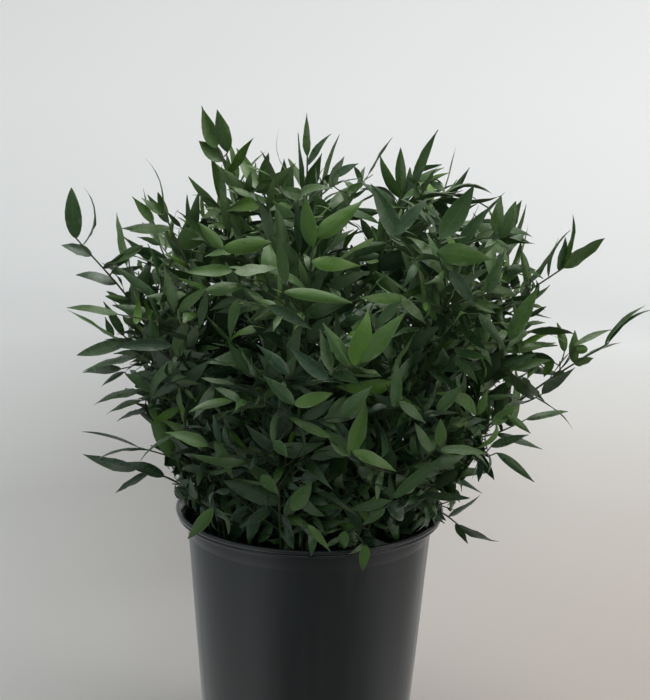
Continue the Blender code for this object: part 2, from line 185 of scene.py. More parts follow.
# Added shoots whose leaves show most in the photograph: where each shoot ends, and its leaves. A leaf has how
# far its root is to the right of that end and above it, then its bearing, length, width, roll and arch as for
# the single stems, and how fresh its green is
SPRAYS = (
    ((0, -186, 589), (
        (0, 1, 106, 44, 14, -15, 8, 0.55), (2, 9, 34, 51, 16, -18, 10, 0.6),
        (-1, -12, -8, 43, 13, -22, 12, 0.65),
    )),
    ((36, -206, 493), (
        (1, 2, 70, 50, 20, 10, 6, 0.75), (7, 3, 54, 59, 16, -25, 12, 0.3),
        (-1, -1, 128, 44, 13, 20, 10, 0.3), (-18, -6, 108, 38, 10, 15, 5, 0.1),
    )),
    ((35, -188, 409), (
        (1, 0, 70, 51, 16, 20, 6, 0.5), (2, 4, -16, 46, 11, -30, 35, 0.45),
        (-1, 2, 135, 31, 12, 20, 20, 0.3), (-17, 16, 155, 46, 9, 40, 30, 0.35),
    )),
    ((-13, -201, 457), ((1, 1, 17, 34, 12, -22, 8, 0.65), (-2, 1, 133, 37, 11, 15, 12, 0.15))),
    ((-77, -160, 582), ((1, 0, 7, 43, 14, -12, 6, 0.3), (1, 0, 132, 31, 10, 20, 10, 0.2))),
    ((-68, -176, 566), ((0, 0, 177, 39, 11, 25, 8, 0.3), (1, -1, 8, 38, 12, -52, 14, 0.0))),
    ((-91, -169, 547), ((0, 0, 7, 37, 12, -35, 8, 0.0), (1, -4, -107, 31, 8, 10, 12, 0.0))),
    ((-63, -187, 543), ((0, -1, -105, 36, 9, 10, 8, 0.3),)),
    ((-23, -199, 553), ((0, 0, -3, 59, 11, -25, 14, 0.45),)),
    ((-22, -198, 561), ((0, 0, 102, 39, 11, -20, 5, 0.25),)),
    ((105, -172, 585), ((0, 0, -4, 48, 19, -10, 10, 0.35), (2, 12, 55, 54, 18, -15, 5, 0.2))),
    ((73, -173, 596), ((0, 2, 119, 53, 16, 15, 5, 0.1), (-8, 2, 43, 45, 12, -25, 10, 0.1))),
    ((125, -160, 585), ((-1, 4, 57, 41, 11, -20, 8, 0.05), (-8, -18, -48, 40, 12, -15, 12, 0.05))),
    ((151, -155, 547), ((0, 0, 73, 40, 12, 15, 5, 0.2),)),
    ((158, -125, 591), ((0, 5, 82, 32, 12, 10, 4, 0.2), (5, 0, 63, 35, 12, -15, 8, 0.2))),
    ((177, -117, 498), ((0, 0, 69, 56, 15, -10, 8, 0.1),)),
    ((145, -160, 530), ((0, 0, -58, 39, 9, -15, 10, 0.0),)),
    ((74, -199, 549), ((1, 0, -37, 34, 9, -30, 35, 0.0), (-2, -3, -134, 33, 10, 20, 20, 0.0))),
    ((110, -173, 446), ((0, 1, 50, 34, 11, -20, 8, 0.1),)),
    ((74, -192, 456), ((-2, -2, 83, 42, 11, 20, 5, 0.2), (2, 3, -35, 33, 9, -30, 30, 0.2))),
    ((26, -201, 447), ((0, 0, 44, 38, 14, -15, 14, 0.05),)),
    ((-36, -198, 541), ((0, 0, -22, 44, 10, -15, 25, 0.0),)),
    ((-18, -205, 484), ((0, 0, 131, 37, 10, 10, 12, 0.1),)),
    ((15, -207, 481), ((0, 0, 143, 42, 12, 10, 14, 0.05),)),
    ((115, -156, 410), (
        (-1, 1, 84, 25, 11, 10, 5, 0.3), (-8, -6, 117, 31, 9, 20, 5, 0.3),
        (1, -4, 7, 45, 9, -40, 40, 0.3),
    )),
    ((76, -156, 361), (
        (1, 2, 44, 57, 11, -25, 12, 0.2), (-4, -3, -163, 42, 9, 25, 20, 0.2),
        (-8, -10, -140, 27, 9, 20, 10, 0.2),
    )),
    ((165, -62, 374), (
        (12, 2, -31, 46, 9, -20, 8, 0.05), (-2, -3, -94, 26, 7, 20, 5, 0.05),
        (6, 8, 24, 38, 9, -25, 8, 0.05),
    )),
    ((166, -102, 416), ((0, 0, 33, 29, 11, -20, 5, 0.05), (14, 8, -32, 29, 7, -25, 10, 0.05))),
    ((-90, -152, 404), ((0, 0, 151, 41, 13, 40, 35, 0.6),)),
    ((-83, -161, 411), ((0, 0, -59, 43, 10, -25, 40, 0.4),)),
    ((-87, -128, 338), ((0, 0, -122, 41, 12, 12, 5, 0.5),)),
    ((-30, -189, 421), ((0, 0, -49, 19, 10, -10, 10, 0.3),)),
    ((-42, -166, 382), ((1, -1, -44, 25, 11, -10, 10, 0.2),)),
    ((-15, -164, 350), ((0, 0, 52, 32, 14, -20, 15, 0.2),)),
    ((0, -162, 336), ((1, -1, -48, 35, 7, -15, 12, 0.4),)),
    ((53, -150, 313), ((0, 0, -100, 27, 10, 15, 5, 0.5),)),
    ((-165, -30, 463), (
        (-13, 5, -166, 52, 14, 35, 14, 0.05), (-2, -9, -174, 56, 14, 70, 15, 0.05),
        (-18, -21, -177, 40, 13, 60, 15, 0.05),
    )),
    ((-128, -90, 480), ((0, 0, 175, 53, 12, 15, 8, 0.05),)),
    ((-144, -60, 518), ((0, 0, 147, 56, 9, 15, 10, 0.0),)),
    ((-143, -60, 428), ((-2, 0, 150, 37, 12, 20, 10, 0.25),)),
    ((-156, -30, 420), (
        (-24, 19, -158, 28, 9, 60, 25, 0.05), (-9, 0, -176, 50, 12, 60, 30, 0.05),
        (-8, -9, -170, 38, 11, 65, 25, 0.05), (-4, -19, -173, 30, 10, 70, 20, 0.05),
    )),
    ((-183, -10, 470), ((-1, 0, 118, 39, 9, 20, 5, 0.05), (-10, -1, 119, 21, 7, 0, 5, 0.05))),
    ((-145, -60, 501), ((0, 0, 168, 44, 11, 25, 8, 0.25),)),
    ((-163, -20, 560), ((-1, 0, -152, 39, 10, 30, 15, 0.05),)),
    ((-149, -20, 579), ((0, 0, -171, 35, 9, 30, 8, 0.05), (-4, 4, 125, 31, 10, 20, 5, 0.05))),
    ((-50, -20, 616), ((0, 1, 89, 35, 11, 10, 3, 0.0),)),
    ((-9, -30, 612), ((-1, 1, 169, 32, 12, 20, 12, 0.1),)),
    ((21, -20, 623), ((-5, 6, 38, 27, 9, -30, 8, 0.15), (8, -8, 33, 20, 8, -20, 5, 0.15))),
    ((180, -60, 468), (
        (-2, 8, 7, 52, 11, -45, 15, 0.05), (0, -8, 27, 33, 10, -30, 8, 0.05),
        (5, -10, 17, 40, 10, -30, 8, 0.05),
    )),
    ((149, -137, 434), ((0, 0, 66, 24, 8, -15, 5, 0.5),)),
    ((188, -40, 546), ((-8, 2, 11, 28, 9, -30, 8, 0.1), (13, -8, 102, 31, 9, 20, 5, 0.1))),
    ((235, -40, 461), (
        (4, 10, 99, 29, 9, 10, 5, 0.2), (14, 12, 6, 12, 9, -20, 5, 0.5), (-8, 2, -104, 19, 9, 20, 5, 0.4),
        (13, 16, 35, 41, 7, -45, 40, 0), (-32, 17, -2, 30, 6, -40, 10, 0),
    )),
    ((203, -40, 503), ((-2, -6, 10, 19, 6, -60, 20, 0.0), (4, 13, -12, 13, 4, -60, 30, 0.0))),
)
# The shoots of the sprays, the stalks between a shoot and a leaf that is off it, and where towards the camera
# a leaf's sight is kept free, in millimetres
SPRAY_RADIUS = 0.8 * MM
SPRAY_REACH = range(8, 240, 8)
SPRAY_RISE = 16 * MM
STALK_RADIUS = 0.6 * MM
STALK_REACH = range(0, 30, 2)
STALK_GAP = 2.5 * MM
SIGHT = (8, 17, 27, 38)

# Fine leaves: stations along a leaf near the outline and along one deeper than that, and round each station
# the side and the height of its points
STATIONS = np.array((0.0, 0.02, 0.06, 0.14, 0.26, 0.4, 0.55, 0.7, 0.82, 0.91, 0.965))
INNER_STATIONS = np.array((0.0, 0.05, 0.2, 0.44, 0.72, 0.93))
INNER = 34 * MM
RING_SIDE = np.array((1, 0.5, 0, -0.5, -1, -0.5, 0, 0.5))
RING_HEIGHT = np.array((0, -0.17, -0.3, -0.17, 0, 0.17, 0.1, 0.17)) * MM
RING = len(RING_SIDE)
NARROW = 0.55 * MM
NARROW_END = 0.4 * MM
# The half width from which a leaf has its full thickness, and the share of its length past the last station
FULL_THICKNESS = 2 * MM
LAST_SHARE = 0.035
# Leaves wider than this share of their length have rounder ends
ROUND_LEAF = 0.6
ROUND_ENDS = (0.5, 0.55)
LEAF_SHARP = 62
# Where the photograph's leaves are paler, or darker below nought, as seen from the front. This is painted
# light and shade in the leaves' green; at the first place it is partly leaves that are paler themselves. Each
# has the place, the reach and the amount. Then the painted shade that deeper leaves have, for the shade inside
# the bush
PALE_LEAF_AND_PAINTED_LIGHT_SPOTS = ((-100, 600, 90, 1.0), (-115, 375, 120, -0.55), (10, 450, 100, -0.3), (190, 465, 100, 0.5))
DEEP_PAINTED_SHADE = 0.35
DEEP_PAINTED_SHADE_REACH = 120 * MM
# A leaf's tone from dark to light, with how much it gains up the bush and how mixed it is, and its freshness
TONE = 0.32
TONE_RISE = 0.2
TONE_SPREAD = 0.25
FRESH_SHARE = 0.07
FRESH_RISE = 0.16
# The dark green is also the colour of the painted shade deep in the bush, and is bluer for it
LEAF_DARK_AND_SHADE = (0.0095, 0.0275, 0.0195)
LEAF_LIGHT = (0.042, 0.087, 0.014)
LEAF_FRESH = (0.071, 0.157, 0.006)

# Fine stems and bucket
TUBE_SIDES = 6
ROUTE_SPLITS = 4
STEM_TONE = 0.5
BUCKET_ROUND = 160
BUCKET_SHARP = 35

# Studio. The light from all round: its strength low down and overhead, where between the nadir at -1 and the
# zenith at 1 it rises, and its colour
WORLD_LOW = 0.14
WORLD_HIGH = 0.8
WORLD_RANGE = (-0.25, 0.9)
WORLD_COLOUR = (0.94, 0.98, 1.0, 1)
# What glossy surfaces see round the object: the light from each direction, in degrees from the front and
# positive towards the left, and the section that carries it with its own share of light
AROUND = (
    (-180, 0.78), (-135, 0.72), (-122, 0.44), (-95, 0.4), (-80, 0.5), (-62, 0.36), (-45, 0.18), (-10, 0.155),
    (18, 0.18), (30, 0.4), (42, 0.62), (60, 0.56), (85, 0.48), (112, 0.48), (135, 0.6), (150, 0.66),
    (180, 0.72),
)
AROUND_SECTION = (
    (0.14, 0.003, 1.4), (0.35, 0.003, 1.25), (0.7, 0.003, 1.0), (1.4, 0.004, 0.95), (2.4, 0.004, 0.9),
    (2.5, 0.8, 0.9), (2.5, 2.3, 0.9),
)
AROUND_STEPS = 144
# The sweep: its flat floor's radius, the radius of the curve up to its wall, and the wall's height, in metres
SWEEP_FLOOR = 2.6
SWEEP_CURVE = 1.6
SWEEP_TOP = 3.6
SWEEP_ROUND = 96
SWEEP_SHARP = 60
# Lights: place, aim, size, power, colour, and whether gloss mirrors them
LIGHTS = (
    ("overhead", (0.1, 0.05, 3.1), (0, 0, 0.4), (2.6, 2.2), 82, (1.0, 0.99, 0.97), True),
    ("window", (-3.0, -1.6, 1.5), (0, 0, 0.4), (0.9, 2.2), 3, (0.93, 0.97, 1.0), True),
    ("lamp", (3.0, -1.4, 1.3), (0, 0, 0.4), (0.9, 2.2), 42, (1.0, 0.97, 0.91), True),
    ("fill", (0.0, -1.7, 1.0), (0, 0, 0.45), (0.8, 0.8), 3.2, (0.45, 0.8, 1.0), False),
)


def rng_for(*keys):
    """A random source of its own for each thing, so that one draw never shifts another."""
    return random.Random("ruscus " + " ".join(str(key) for key in keys))


def polar(radius, angle, height):
    """The point at an angle in radians round the upright axis."""
    return Vector((radius * math.cos(angle), radius * math.sin(angle), height))


def across(vector, axis):
    """The unit vector nearest to a vector that is square to an axis."""
    flat = vector - axis * vector.dot(axis)
    if flat.length < 1e-6:
        flat = axis.orthogonal()
    return flat.normalized()


def turned(vector, axis, angle):
    """The vector turned about an axis."""
    return Matrix.Rotation(angle, 3, axis) @ vector


def beside(ahead):
    """A direction square to the given one."""
    return across(UP if abs(ahead.z) < 0.8 else Vector((1, 0, 0)), ahead)


def within(value):
    """The value, kept between nought and one."""
    return min(1.0, max(0.0, value))


def band_faces(steps, rows):
    """The faces between neighbouring columns of points that go once round."""
    faces = []
    for k in range(steps):
        near, far = k * rows, (k + 1) % steps * rows
        for i in range(rows - 1):
            faces.append((near + i, near + i + 1, far + i + 1, far + i))
    return faces


def loft(root, rings, tip):
    """A closed skin over rings of points, drawn to a point at its root and its tip."""
    count = len(rings[0])
    points = [root] + [point for ring in rings for point in ring] + [tip]
    end = len(points) - 1
    faces = []
    for k in range(count):
        n = (k + 1) % count
        faces.append((0, 1 + n, 1 + k))
        for r in range(len(rings) - 1):
            a, b = 1 + r * count + k, 1 + r * count + n
            c, d = b + count, a + count
            if k % 2 == 0:
                faces += [(a, b, c), (a, c, d)]
            else:
                faces += [(a, b, d), (b, c, d)]
        faces.append((end - count + k, end - count + n, end))
    return points, faces


def blade_outline(t):
    """Half width of a blade at a share of its length, as a share of its greatest half width."""
    return 3.62 * t**0.72 * (1 - t) ** 1.28


class Blade:
    """A pointed ruscus blade: where it is rooted, which way it runs and faces, and how it curves."""

    def __init__(self, root, heading, facing, length, width, arch, twist, fold):
        self.root, self.heading, self.facing = root, heading, facing
        self.length, self.width = length, width
        self.arch, self.twist, self.fold = arch, twist, fold
        self.fresh = None

    def section(self, t):
        """Centre, side and normal of the blade at a share of its length."""
        turn = self.arch * t
        bend = self.arch if abs(self.arch) > 1e-4 else 1e-4
        along_it = math.sin(bend * t) / bend
        sunk = (1 - math.cos(bend * t)) / bend
        centre = self.root + self.length * (along_it * self.heading - sunk * self.facing)
        tangent = math.cos(turn) * self.heading - math.sin(turn) * self.facing
        normal = math.cos(turn) * self.facing + math.sin(turn) * self.heading
        side = turned(tangent.cross(normal), tangent, self.twist * t)
        return centre, side, side.cross(tangent)

    def solid(self):
        """The blade as a flat-backed lens: at each station two edges, and a ridge over the midrib."""
        rings = []
        for t in BLADE_STATIONS:
            centre, side, normal = self.section(t)
            half = self.width / 2 * blade_outline(t)
            ridge = BLADE_THICKNESS + half * math.tan(self.fold)
            rings.append([centre + side * half, centre - side * half, centre + normal * ridge])
        return loft(self.root - ROOT_SUNK * self.heading, rings, self.section(1)[0])

    def proxy(self, clear=CLEAR, thickness=BLADE_THICKNESS):
        """A box-sectioned skin that stands off the blade by the clearance."""
        rings = []
        for t in BLADE_STATIONS:
            centre, side, normal = self.section(t)
            half = self.width / 2 * blade_outline(t) + clear
            ridge = thickness + half * math.tan(self.fold) + clear
            wide, low, high = side * half, normal * -clear, normal * ridge
            left, right = centre - wide, centre + wide
            rings.append([left + low, right + low, right + high, left + high])
        tip = self.section(1)[0]
        return loft(self.root, rings, tip + (tip - self.section(0.9)[0]).normalized() * clear)


def tube_proxy(route, radius, clear=CLEAR):
    """A square skin that stands off the tube built round a route by the clearance."""
    skirt = radius * math.sqrt(2) + clear
    rings = []
    for k, point in enumerate(route):
        ahead = (route[min(k + 1, len(route) - 1)] - route[max(k - 1, 0)]).normalized()
        side = beside(ahead)
        other = ahead.cross(side)
        rings.append([point + skirt * v for v in (-side, other, side, -other)])
    return loft(route[0], rings, route[-1] + ahead * clear)


# Clearance between pieces


class Room:
    """What has been placed so far, in a grid, to keep each new piece clear of the others."""

    CELL = 40 * MM

    def __init__(self):
        self.cells = {}

    def keys(self, points, faces):
        found = set()
        for face in faces:
            corners = [points[i] for i in face]
            low = [math.floor(min(c[a] for c in corners) / self.CELL) for a in range(3)]
            high = [math.floor(max(c[a] for c in corners) / self.CELL) for a in range(3)]
            for x in range(low[0], high[0] + 1):
                for y in range(low[1], high[1] + 1):
                    for z in range(low[2], high[2] + 1):
                        found.add((x, y, z))
        return found

    def clear(self, shape, *kin):
        """Whether a closed shape crosses nothing that stands here but its kin, which it may grow into."""
        tree = BVHTree.FromPolygons(*shape)
        seen = {id(other) for other in kin}
        for key in self.keys(*shape):
            for other in self.cells.get(key, ()):
                if id(other) not in seen:
                    seen.add(id(other))
                    if tree.overlap(other):
                        return False
        return True

    def add(self, shape):
        """Places a shape, and gives it back in the form that it is known by here."""
        tree = BVHTree.FromPolygons(*shape)
        for key in self.keys(*shape):
            self.cells.setdefault(key, []).append(tree)
        return tree


def bucket_profile():
    """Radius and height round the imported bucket's wall and lip, from its floor inside to its foot."""
    flare = BUCKET_HEIGHT - FLARE_HEIGHT
    inner_neck = NECK_RADIUS - WALL
    return (
        (BASE_RADIUS - WALL, FLOOR),
        (inner_neck, flare),
        (inner_neck + 2 * MM, BUCKET_HEIGHT - LIP_DEPTH),
        (RIM_RADIUS - LIP_DEPTH, BUCKET_HEIGHT - LIP_ROUND / 2),
        (RIM_RADIUS - LIP_ROUND, BUCKET_HEIGHT),
        (RIM_RADIUS, BUCKET_HEIGHT - LIP_ROUND),
        (RIM_RADIUS, BUCKET_HEIGHT - LIP_DEPTH),
        (RIM_RADIUS - LIP_ROUND, BUCKET_HEIGHT - LIP_DEPTH - 1 * MM),
        (NECK_RADIUS + LIP_ROUND, BUCKET_HEIGHT - LIP_DEPTH - 2 * MM),
        (NECK_RADIUS, flare - WALL),
        (BASE_RADIUS + 0.5 * MM, 2 * MM),
        (BASE_RADIUS - 2 * MM, 0),
    )


def bucket_proxy():
    """The bucket's wall and lip as the triangles that stems and blades stay clear of."""
    profile = bucket_profile()
    points, faces = [], []
    for k in range(BUCKET_STEPS):
        points += [polar(r, math.tau * k / BUCKET_STEPS, z) for r, z in profile]
    for a, b, c, d in band_faces(BUCKET_STEPS, len(profile)):
        faces += [(a, b, c), (a, c, d)]
    return points, faces


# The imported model's growth, repeated from the same numbers


class Plan:
    """Where a stem stands and reaches. play is how far it is left to chance."""

    def __init__(self, angle, radius, lean, tip, play, blades=None):
        self.angle, self.radius, self.lean = angle, radius * MM, math.radians(lean)
        self.tip, self.play, self.blades = tip, play, blades


def stem_plans():
    """The single stems, then the rings."""
    plans = []
    for angle, radius, lean, tip, blades in LONE_STEMS:
        plans.append(Plan(math.radians(angle), radius, lean, Vector(tip) * MM, 0, blades))
    for ring, (count, radius, tip_radius, tip_height, lean, middle) in enumerate(STEM_RINGS):
        for k in range(count):
            angle = math.tau * (k + 0.37 * ring) / count
            tip = polar(tip_radius * MM, angle, tip_height * MM) + Vector((middle * MM, 0, 0))
            plans.append(Plan(angle, radius, lean, tip, 1))
    return plans


def axis_route(plan, rng):
    """The stem's line from its foot on the bucket's floor to its tip, a little off its plan."""
    angle = plan.angle + rng.uniform(-0.09, 0.09) * (0.3 + plan.play)
    radius = plan.radius * rng.uniform(0.92, 1.0)
    lean = plan.lean * rng.uniform(0.85, 1.1)
    shift = Vector((rng.uniform(-16, 16), rng.uniform(-16, 16), rng.uniform(-18, 18))) * MM
    tip = plan.tip + shift * plan.play
    foot = polar(radius * FOOT_SHARE, angle + rng.uniform(-0.12, 0.12), FLOOR + FOOT_GAP + STEM_RADIUS * 0.4)
    mouth = polar(radius, angle, BUCKET_HEIGHT)
    leaving = math.sin(lean) * across(tip - mouth, UP) + math.cos(lean) * UP
    bend = mouth + leaving * (tip - mouth).length * 0.52
    route = [foot]
    for k in range(AXIS_STEPS + 1):
        t = k / AXIS_STEPS
        route.append((1 - t) ** 2 * mouth + 2 * t * (1 - t) * bend + t * t * tip)
    return route


def shoot_route(start, heading, length, rise):
    """A side shoot that leaves along heading and bends by rise radians towards the light."""
    lift = across(UP, heading)
    step = length / SHOOT_STEPS
    route = [start]
    for k in range(SHOOT_STEPS):
        turn = rise * (k + 0.5) / SHOOT_STEPS
        route.append(route[-1] + step * (math.cos(turn) * heading + math.sin(turn) * lift))
    return route


def place_on(route, distance):
    """The segment of a route and the share along it, at a distance back from its end."""
    left = distance
    for k in range(len(route) - 1, 0, -1):
        long = (route[k] - route[k - 1]).length
        if left <= long or k == 1:
            return k - 1, 1 - left / long
        left -= long


def along(route, distance):
    """Point and direction on a route, at a distance back from its end."""
    left = distance
    for a, b in zip(route[-2::-1], route[:0:-1]):
        if left <= (b - a).length:
            break
        left -= (b - a).length
    heading = (b - a).normalized()
    return b - heading * left, heading


def shoot_at(axis, back, side, rng, size=1.0):
    """A side shoot that grows at a distance back from the axis's end. side is -1 or 1."""
    start, up_stem = along(axis, back)
    away = across(start - BUNCH_CENTRE, up_stem)
    sideways = up_stem.cross(away) * side
    swing = rng.uniform(-0.2, 0.95)
    leaving = math.cos(swing) * sideways + math.sin(swing) * away
    spread = rng.uniform(0.6, 1.0)
    heading = math.cos(spread) * up_stem + math.sin(spread) * leaving
    length = rng.uniform(52, 80) * MM * size
    return shoot_route(start, heading.normalized(), length, rng.uniform(-0.5, 0.45))


def blade_at(route, distance, side, rng, size=1.0):
    """A blade rooted at a distance back from a shoot's end. side is -1 or 1, or 0 for the end blade."""
    root, forward = along(route, distance)
    away = (root - BUNCH_CENTRE).normalized()
    normal = across(0.8 * UP + 0.5 * away + 0.25 * Vector((rng.gauss(0, 1), rng.gauss(0, 1), 0)), forward)
    normal = turned(normal, forward, rng.gauss(0, 0.3))
    spread = rng.uniform(0.55, 1.05) * side + rng.gauss(0, 0.12)
    heading = turned(forward, normal, -spread)
    heading = turned(heading, heading.cross(normal), rng.gauss(0.05, 0.2)).normalized()
    facing = turned(across(normal, heading), heading, rng.gauss(0, 0.35))
    length = BLADE_LENGTH * rng.uniform(0.78, 1.16) * size
    width = length * rng.uniform(0.25, 0.35)
    upright = max(0.0, heading.z)
    arch = rng.uniform(0.15, 0.95) * (1 - upright) + rng.uniform(-0.5, 0.5) * upright
    return Blade(root, heading, facing, length, width, arch, rng.gauss(0, 0.3), rng.uniform(0.02, 0.12))


def loose_leaf(route, distance, side, rng):
    """An added leaf: of mixed size, and turned, curved and hung more freely than a packed blade."""
    blade = blade_at(route, distance, side, rng, rng.choice(LEAF_SIZES))
    low = within(1 - (blade.root.z - BUCKET_HEIGHT) / LOW_REACH)
    blade.length *= 1 - 0.16 * low
    blade.width = blade.length * rng.uniform(0.19 + 0.07 * low, 0.33 + 0.15 * low)
    blade.facing = turned(blade.facing, blade.heading, rng.gauss(0, 0.85))
    droop = rng.uniform(0, 0.8) * low + rng.gauss(0.1, 0.35)
    level = across(UP, blade.heading)
    blade.heading = math.cos(droop) * blade.heading - math.sin(droop) * level
    blade.facing = across(blade.facing, blade.heading)
    arches = (rng.gauss(0.35, 0.3), rng.gauss(0.5, 0.4), rng.uniform(0.8, 1.7), rng.gauss(-0.4, 0.3))
    blade.arch = rng.choice(arches) * (1 + 0.5 * low)
    blade.twist = rng.gauss(0, 0.6 + 0.5 * low)
    return blade


def front_blade(root, bearing, length, width, roll, arch):
    """A blade from how it is seen from the front."""
    heading = Vector((math.cos(math.radians(bearing)), 0, math.sin(math.radians(bearing))))
    facing = turned(TO_FRONT, heading, math.radians(roll))
    return Blade(root, heading, facing, length * MM, width * MM, math.radians(arch), 0.1, 0.06)


class Stem:
    """One cut stem: its axis and side shoots, and the leaves on each of them."""

    def __init__(self, name, plan, axis, skin):
        self.name, self.plan = name, plan
        self.routes, self.skins, self.radii = [axis], [skin], [STEM_RADIUS]
        self.leaves = []

    def branch(self, route, skin, radius):
        self.routes.append(route)
        self.skins.append(skin)
        self.radii.append(radius)

    def hold(self, blade, route, distance):
        """Keeps a leaf, rooted on the rounded line of its route."""
        blade.root = blade.root + rounded(route, *place_on(route, distance)) - along(route, distance)[0]
        self.leaves.append(blade)


def place_axes(room):
    """Every stem's axis, redrawn until it is clear of the others."""
    stems = []
    for i, plan in enumerate(stem_plans()):
        for attempt in range(AXIS_TRIES):
            axis = axis_route(plan, rng_for("axis", i, attempt))
            proxy = tube_proxy(axis, STEM_RADIUS)
            if room.clear(proxy):
                stems.append(Stem(f"stem_{len(stems) + 1:02d}", plan, axis, room.add(proxy)))
                break
    return stems


def place_lone_blades(stems, room):
    """The blades of the single stems, each where the photograph has it."""
    for stem in stems:
        kin = [stem.skins[0]]
        for back, *sizes in stem.plan.blades or ():
            blade = front_blade(along(stem.routes[0], back * MM)[0], *sizes)
            blade.fresh = LONE_FRESH
            if room.clear(blade.proxy(), *kin):
                kin.append(room.add(blade.solid()))
                stem.hold(blade, stem.routes[0], back * MM)


def place_shoots(stems, room):
    """The side shoots, redrawn until they are clear, or left off."""
    for i, stem in enumerate(stems):
        for k, (back, side) in enumerate(SHOOTS):
            if stem.plan.blades:
                back += LONE_REACH
            if along(stem.routes[0], back * MM)[0].z < LOWEST_SHOOT:
                continue
            for attempt in range(TRIES):
                side = -side
                shoot = shoot_at(stem.routes[0], back * MM, side, rng_for("shoot", i, k, attempt))
                proxy = tube_proxy(shoot, SHOOT_RADIUS)
                if room.clear(proxy, stem.skins[0]):
                    stem.branch(shoot, room.add(proxy), SHOOT_RADIUS)
                    break


def place_blades(stems, room):
    """The blades, end blades first, redrawn until they are clear, or left off."""
    for n in range(len(AXIS_BLADES)):
        for i, stem in enumerate(stems):
            for k, (route, skin) in enumerate(zip(stem.routes, stem.skins)):
                plan = AXIS_BLADES if k == 0 else SHOOT_BLADES
                if n >= len(plan) or (k == 0 and stem.plan.blades):
                    continue
                back, side = plan[n]
                if along(route, back * MM)[0].z < LOWEST_BLADE:
                    continue
                for attempt in range(TRIES):
                    blade = blade_at(route, back * MM, side, rng_for("blade", i, k, n, attempt))
                    if room.clear(blade.proxy(), skin):
                        room.add(blade.solid())
                        if depth(blade.section(1)[0]) < 0:
                            blade.width *= SLIM
                        stem.hold(blade, route, back * MM)
                        break


# Fine growth


def rounded(route, k, share):
    """A point on the smooth line through a route's points: on segment k, at a share along it."""
    b, c = route[k], route[k + 1]
    a = route[k - 1] if k else 2 * b - c
    d = route[k + 2] if k + 2 < len(route) else 2 * c - b
    if len(route) > AXIS_STEPS + 1 and k == 1:
        a = 2 * b - c
    if len(route) > AXIS_STEPS + 1 and k == 0:
        return b + share * (c - b)
    s = share
    return 0.5 * (
        2 * b + s * (c - a) + s * s * (2 * a - 5 * b + 4 * c - d) + s**3 * (3 * b - a - 3 * c + d)
    )


def depth(point):
    """How far a point lies inside the bush's outline. Outside it is below nought."""
    heights = [row[0] for row in OUTLINE]
    middle = np.interp(point.z / MM, heights, [row[1] for row in OUTLINE]) * MM
    radius = math.hypot(point.x - middle, point.y)
    nearest = 1.0
    for (low, _, r0), (high, _, r1) in zip(OUTLINE, OUTLINE[1:]):
        start = Vector((r0, low)) * MM
        line = Vector((r1 - r0, high - low)) * MM
        gap = Vector((radius, point.z)) - start
        share = within(gap.dot(line) / line.dot(line))
        nearest = min(nearest, (gap - share * line).length)
    limit = np.interp(point.z / MM, heights, [row[2] for row in OUTLINE], right=-1) * MM
    return nearest if radius < limit else -nearest


def fits(blade, ragged):
    """Whether a leaf keeps to the bush's outline, which only narrow ones may pass, and off the bucket."""
    slender = min(1.0, max(0.1, (0.36 - blade.width / blade.length) / 0.14))
    tip = blade.section(1)[0]
    low = BUCKET_HEIGHT - (2 * MM if math.hypot(tip.x, tip.y) > NECK_RADIUS else 16 * MM)
    if tip.z < low:
        return False
    return depth(tip) > -ragged * slender


def nearest_axis(stems, end):
    """The stem, and the place on its axis, that a shoot to a given end grows from."""
    best = None
    for stem in stems:
        for back in SPRAY_REACH:
            start = along(stem.routes[0], back * MM)[0]
            cost = (end - start).length + max(0.0, start.z - end.z + SPRAY_RISE) * 3
            if start.z > BUCKET_HEIGHT and (best is None or cost < best[0]):
                best = (cost, stem, start)
    return best[1:]


def add_sight(room, blade):
    """Places a leaf together with copies of it towards the camera, which keep its sight free."""
    points, faces = blade.proxy(0, THIN)
    look = (Vector(CAMERA_PLACE) - blade.root).normalized()
    return [room.add(([point + look * step * MM for point in points], faces)) for step in (0, *SIGHT)]


def in_sight(blade, shown):
    """Whether a leaf stands in the sight of the leaves that show most."""
    tree = BVHTree.FromPolygons(*blade.solid())
    return any(tree.overlap(other) for other in shown)


def add_stalk(stem, route, root, room):
    """Where on a shoot a leaf with a given root grows, or the stalk that joins the root to the shoot."""
    gap, back = min(((root - along(route, step * MM)[0]).length, step * MM) for step in STALK_REACH)
    if gap < STALK_GAP:
        return route, back
    start = along(route, back + gap / 2)[0]
    stalk = [start, (start + root) / 2 + Vector((0, 0, -gap / 8)), root]
    stem.branch(stalk, room.add(tube_proxy(stalk, STALK_RADIUS, TIGHT)), STALK_RADIUS)
    return stalk, 0


def splay_end_blades(stems, room):
    """Sets the end blades of one single stem side by side, on a stalk where a root leaves the stem."""
    stem = stems[SPLAYED_STEM]
    for blade, (turn, right, up) in zip(stem.leaves, SPLAYS):
        blade.heading = turned(blade.heading, TO_FRONT, math.radians(turn))
        blade.facing = turned(blade.facing, TO_FRONT, math.radians(turn))
        blade.root = blade.root + Vector((right, 0, up)) * MM
        add_stalk(stem, stem.routes[0], blade.root, room)


def place_sprays(stems, room):
    """The shoots and leaves that show most. What stands in front of them is left off."""
    shown = []
    for place, leaves in SPRAYS:
        end = Vector(place) * MM
        stem, start = nearest_axis(stems, end)
        middle = (start + end) / 2 + across(end - BUNCH_CENTRE, (end - start).normalized()) * 4 * MM
        route = [start, middle, end]
        stem.branch(route, room.add(tube_proxy(route, SPRAY_RADIUS, TIGHT)), SPRAY_RADIUS)
        for right, above, *sizes, fresh in leaves:
            root = end + Vector((right, 0, above)) * MM
            grown_on, back = add_stalk(stem, route, root, room)
            blade = front_blade(along(grown_on, back)[0], *sizes)
            blade.fresh = fresh
            shown += add_sight(room, blade)
            stem.hold(blade, grown_on, back)
    for stem in stems:
        stem.leaves = [leaf for leaf in stem.leaves if leaf.fresh is not None or not in_sight(leaf, shown)]


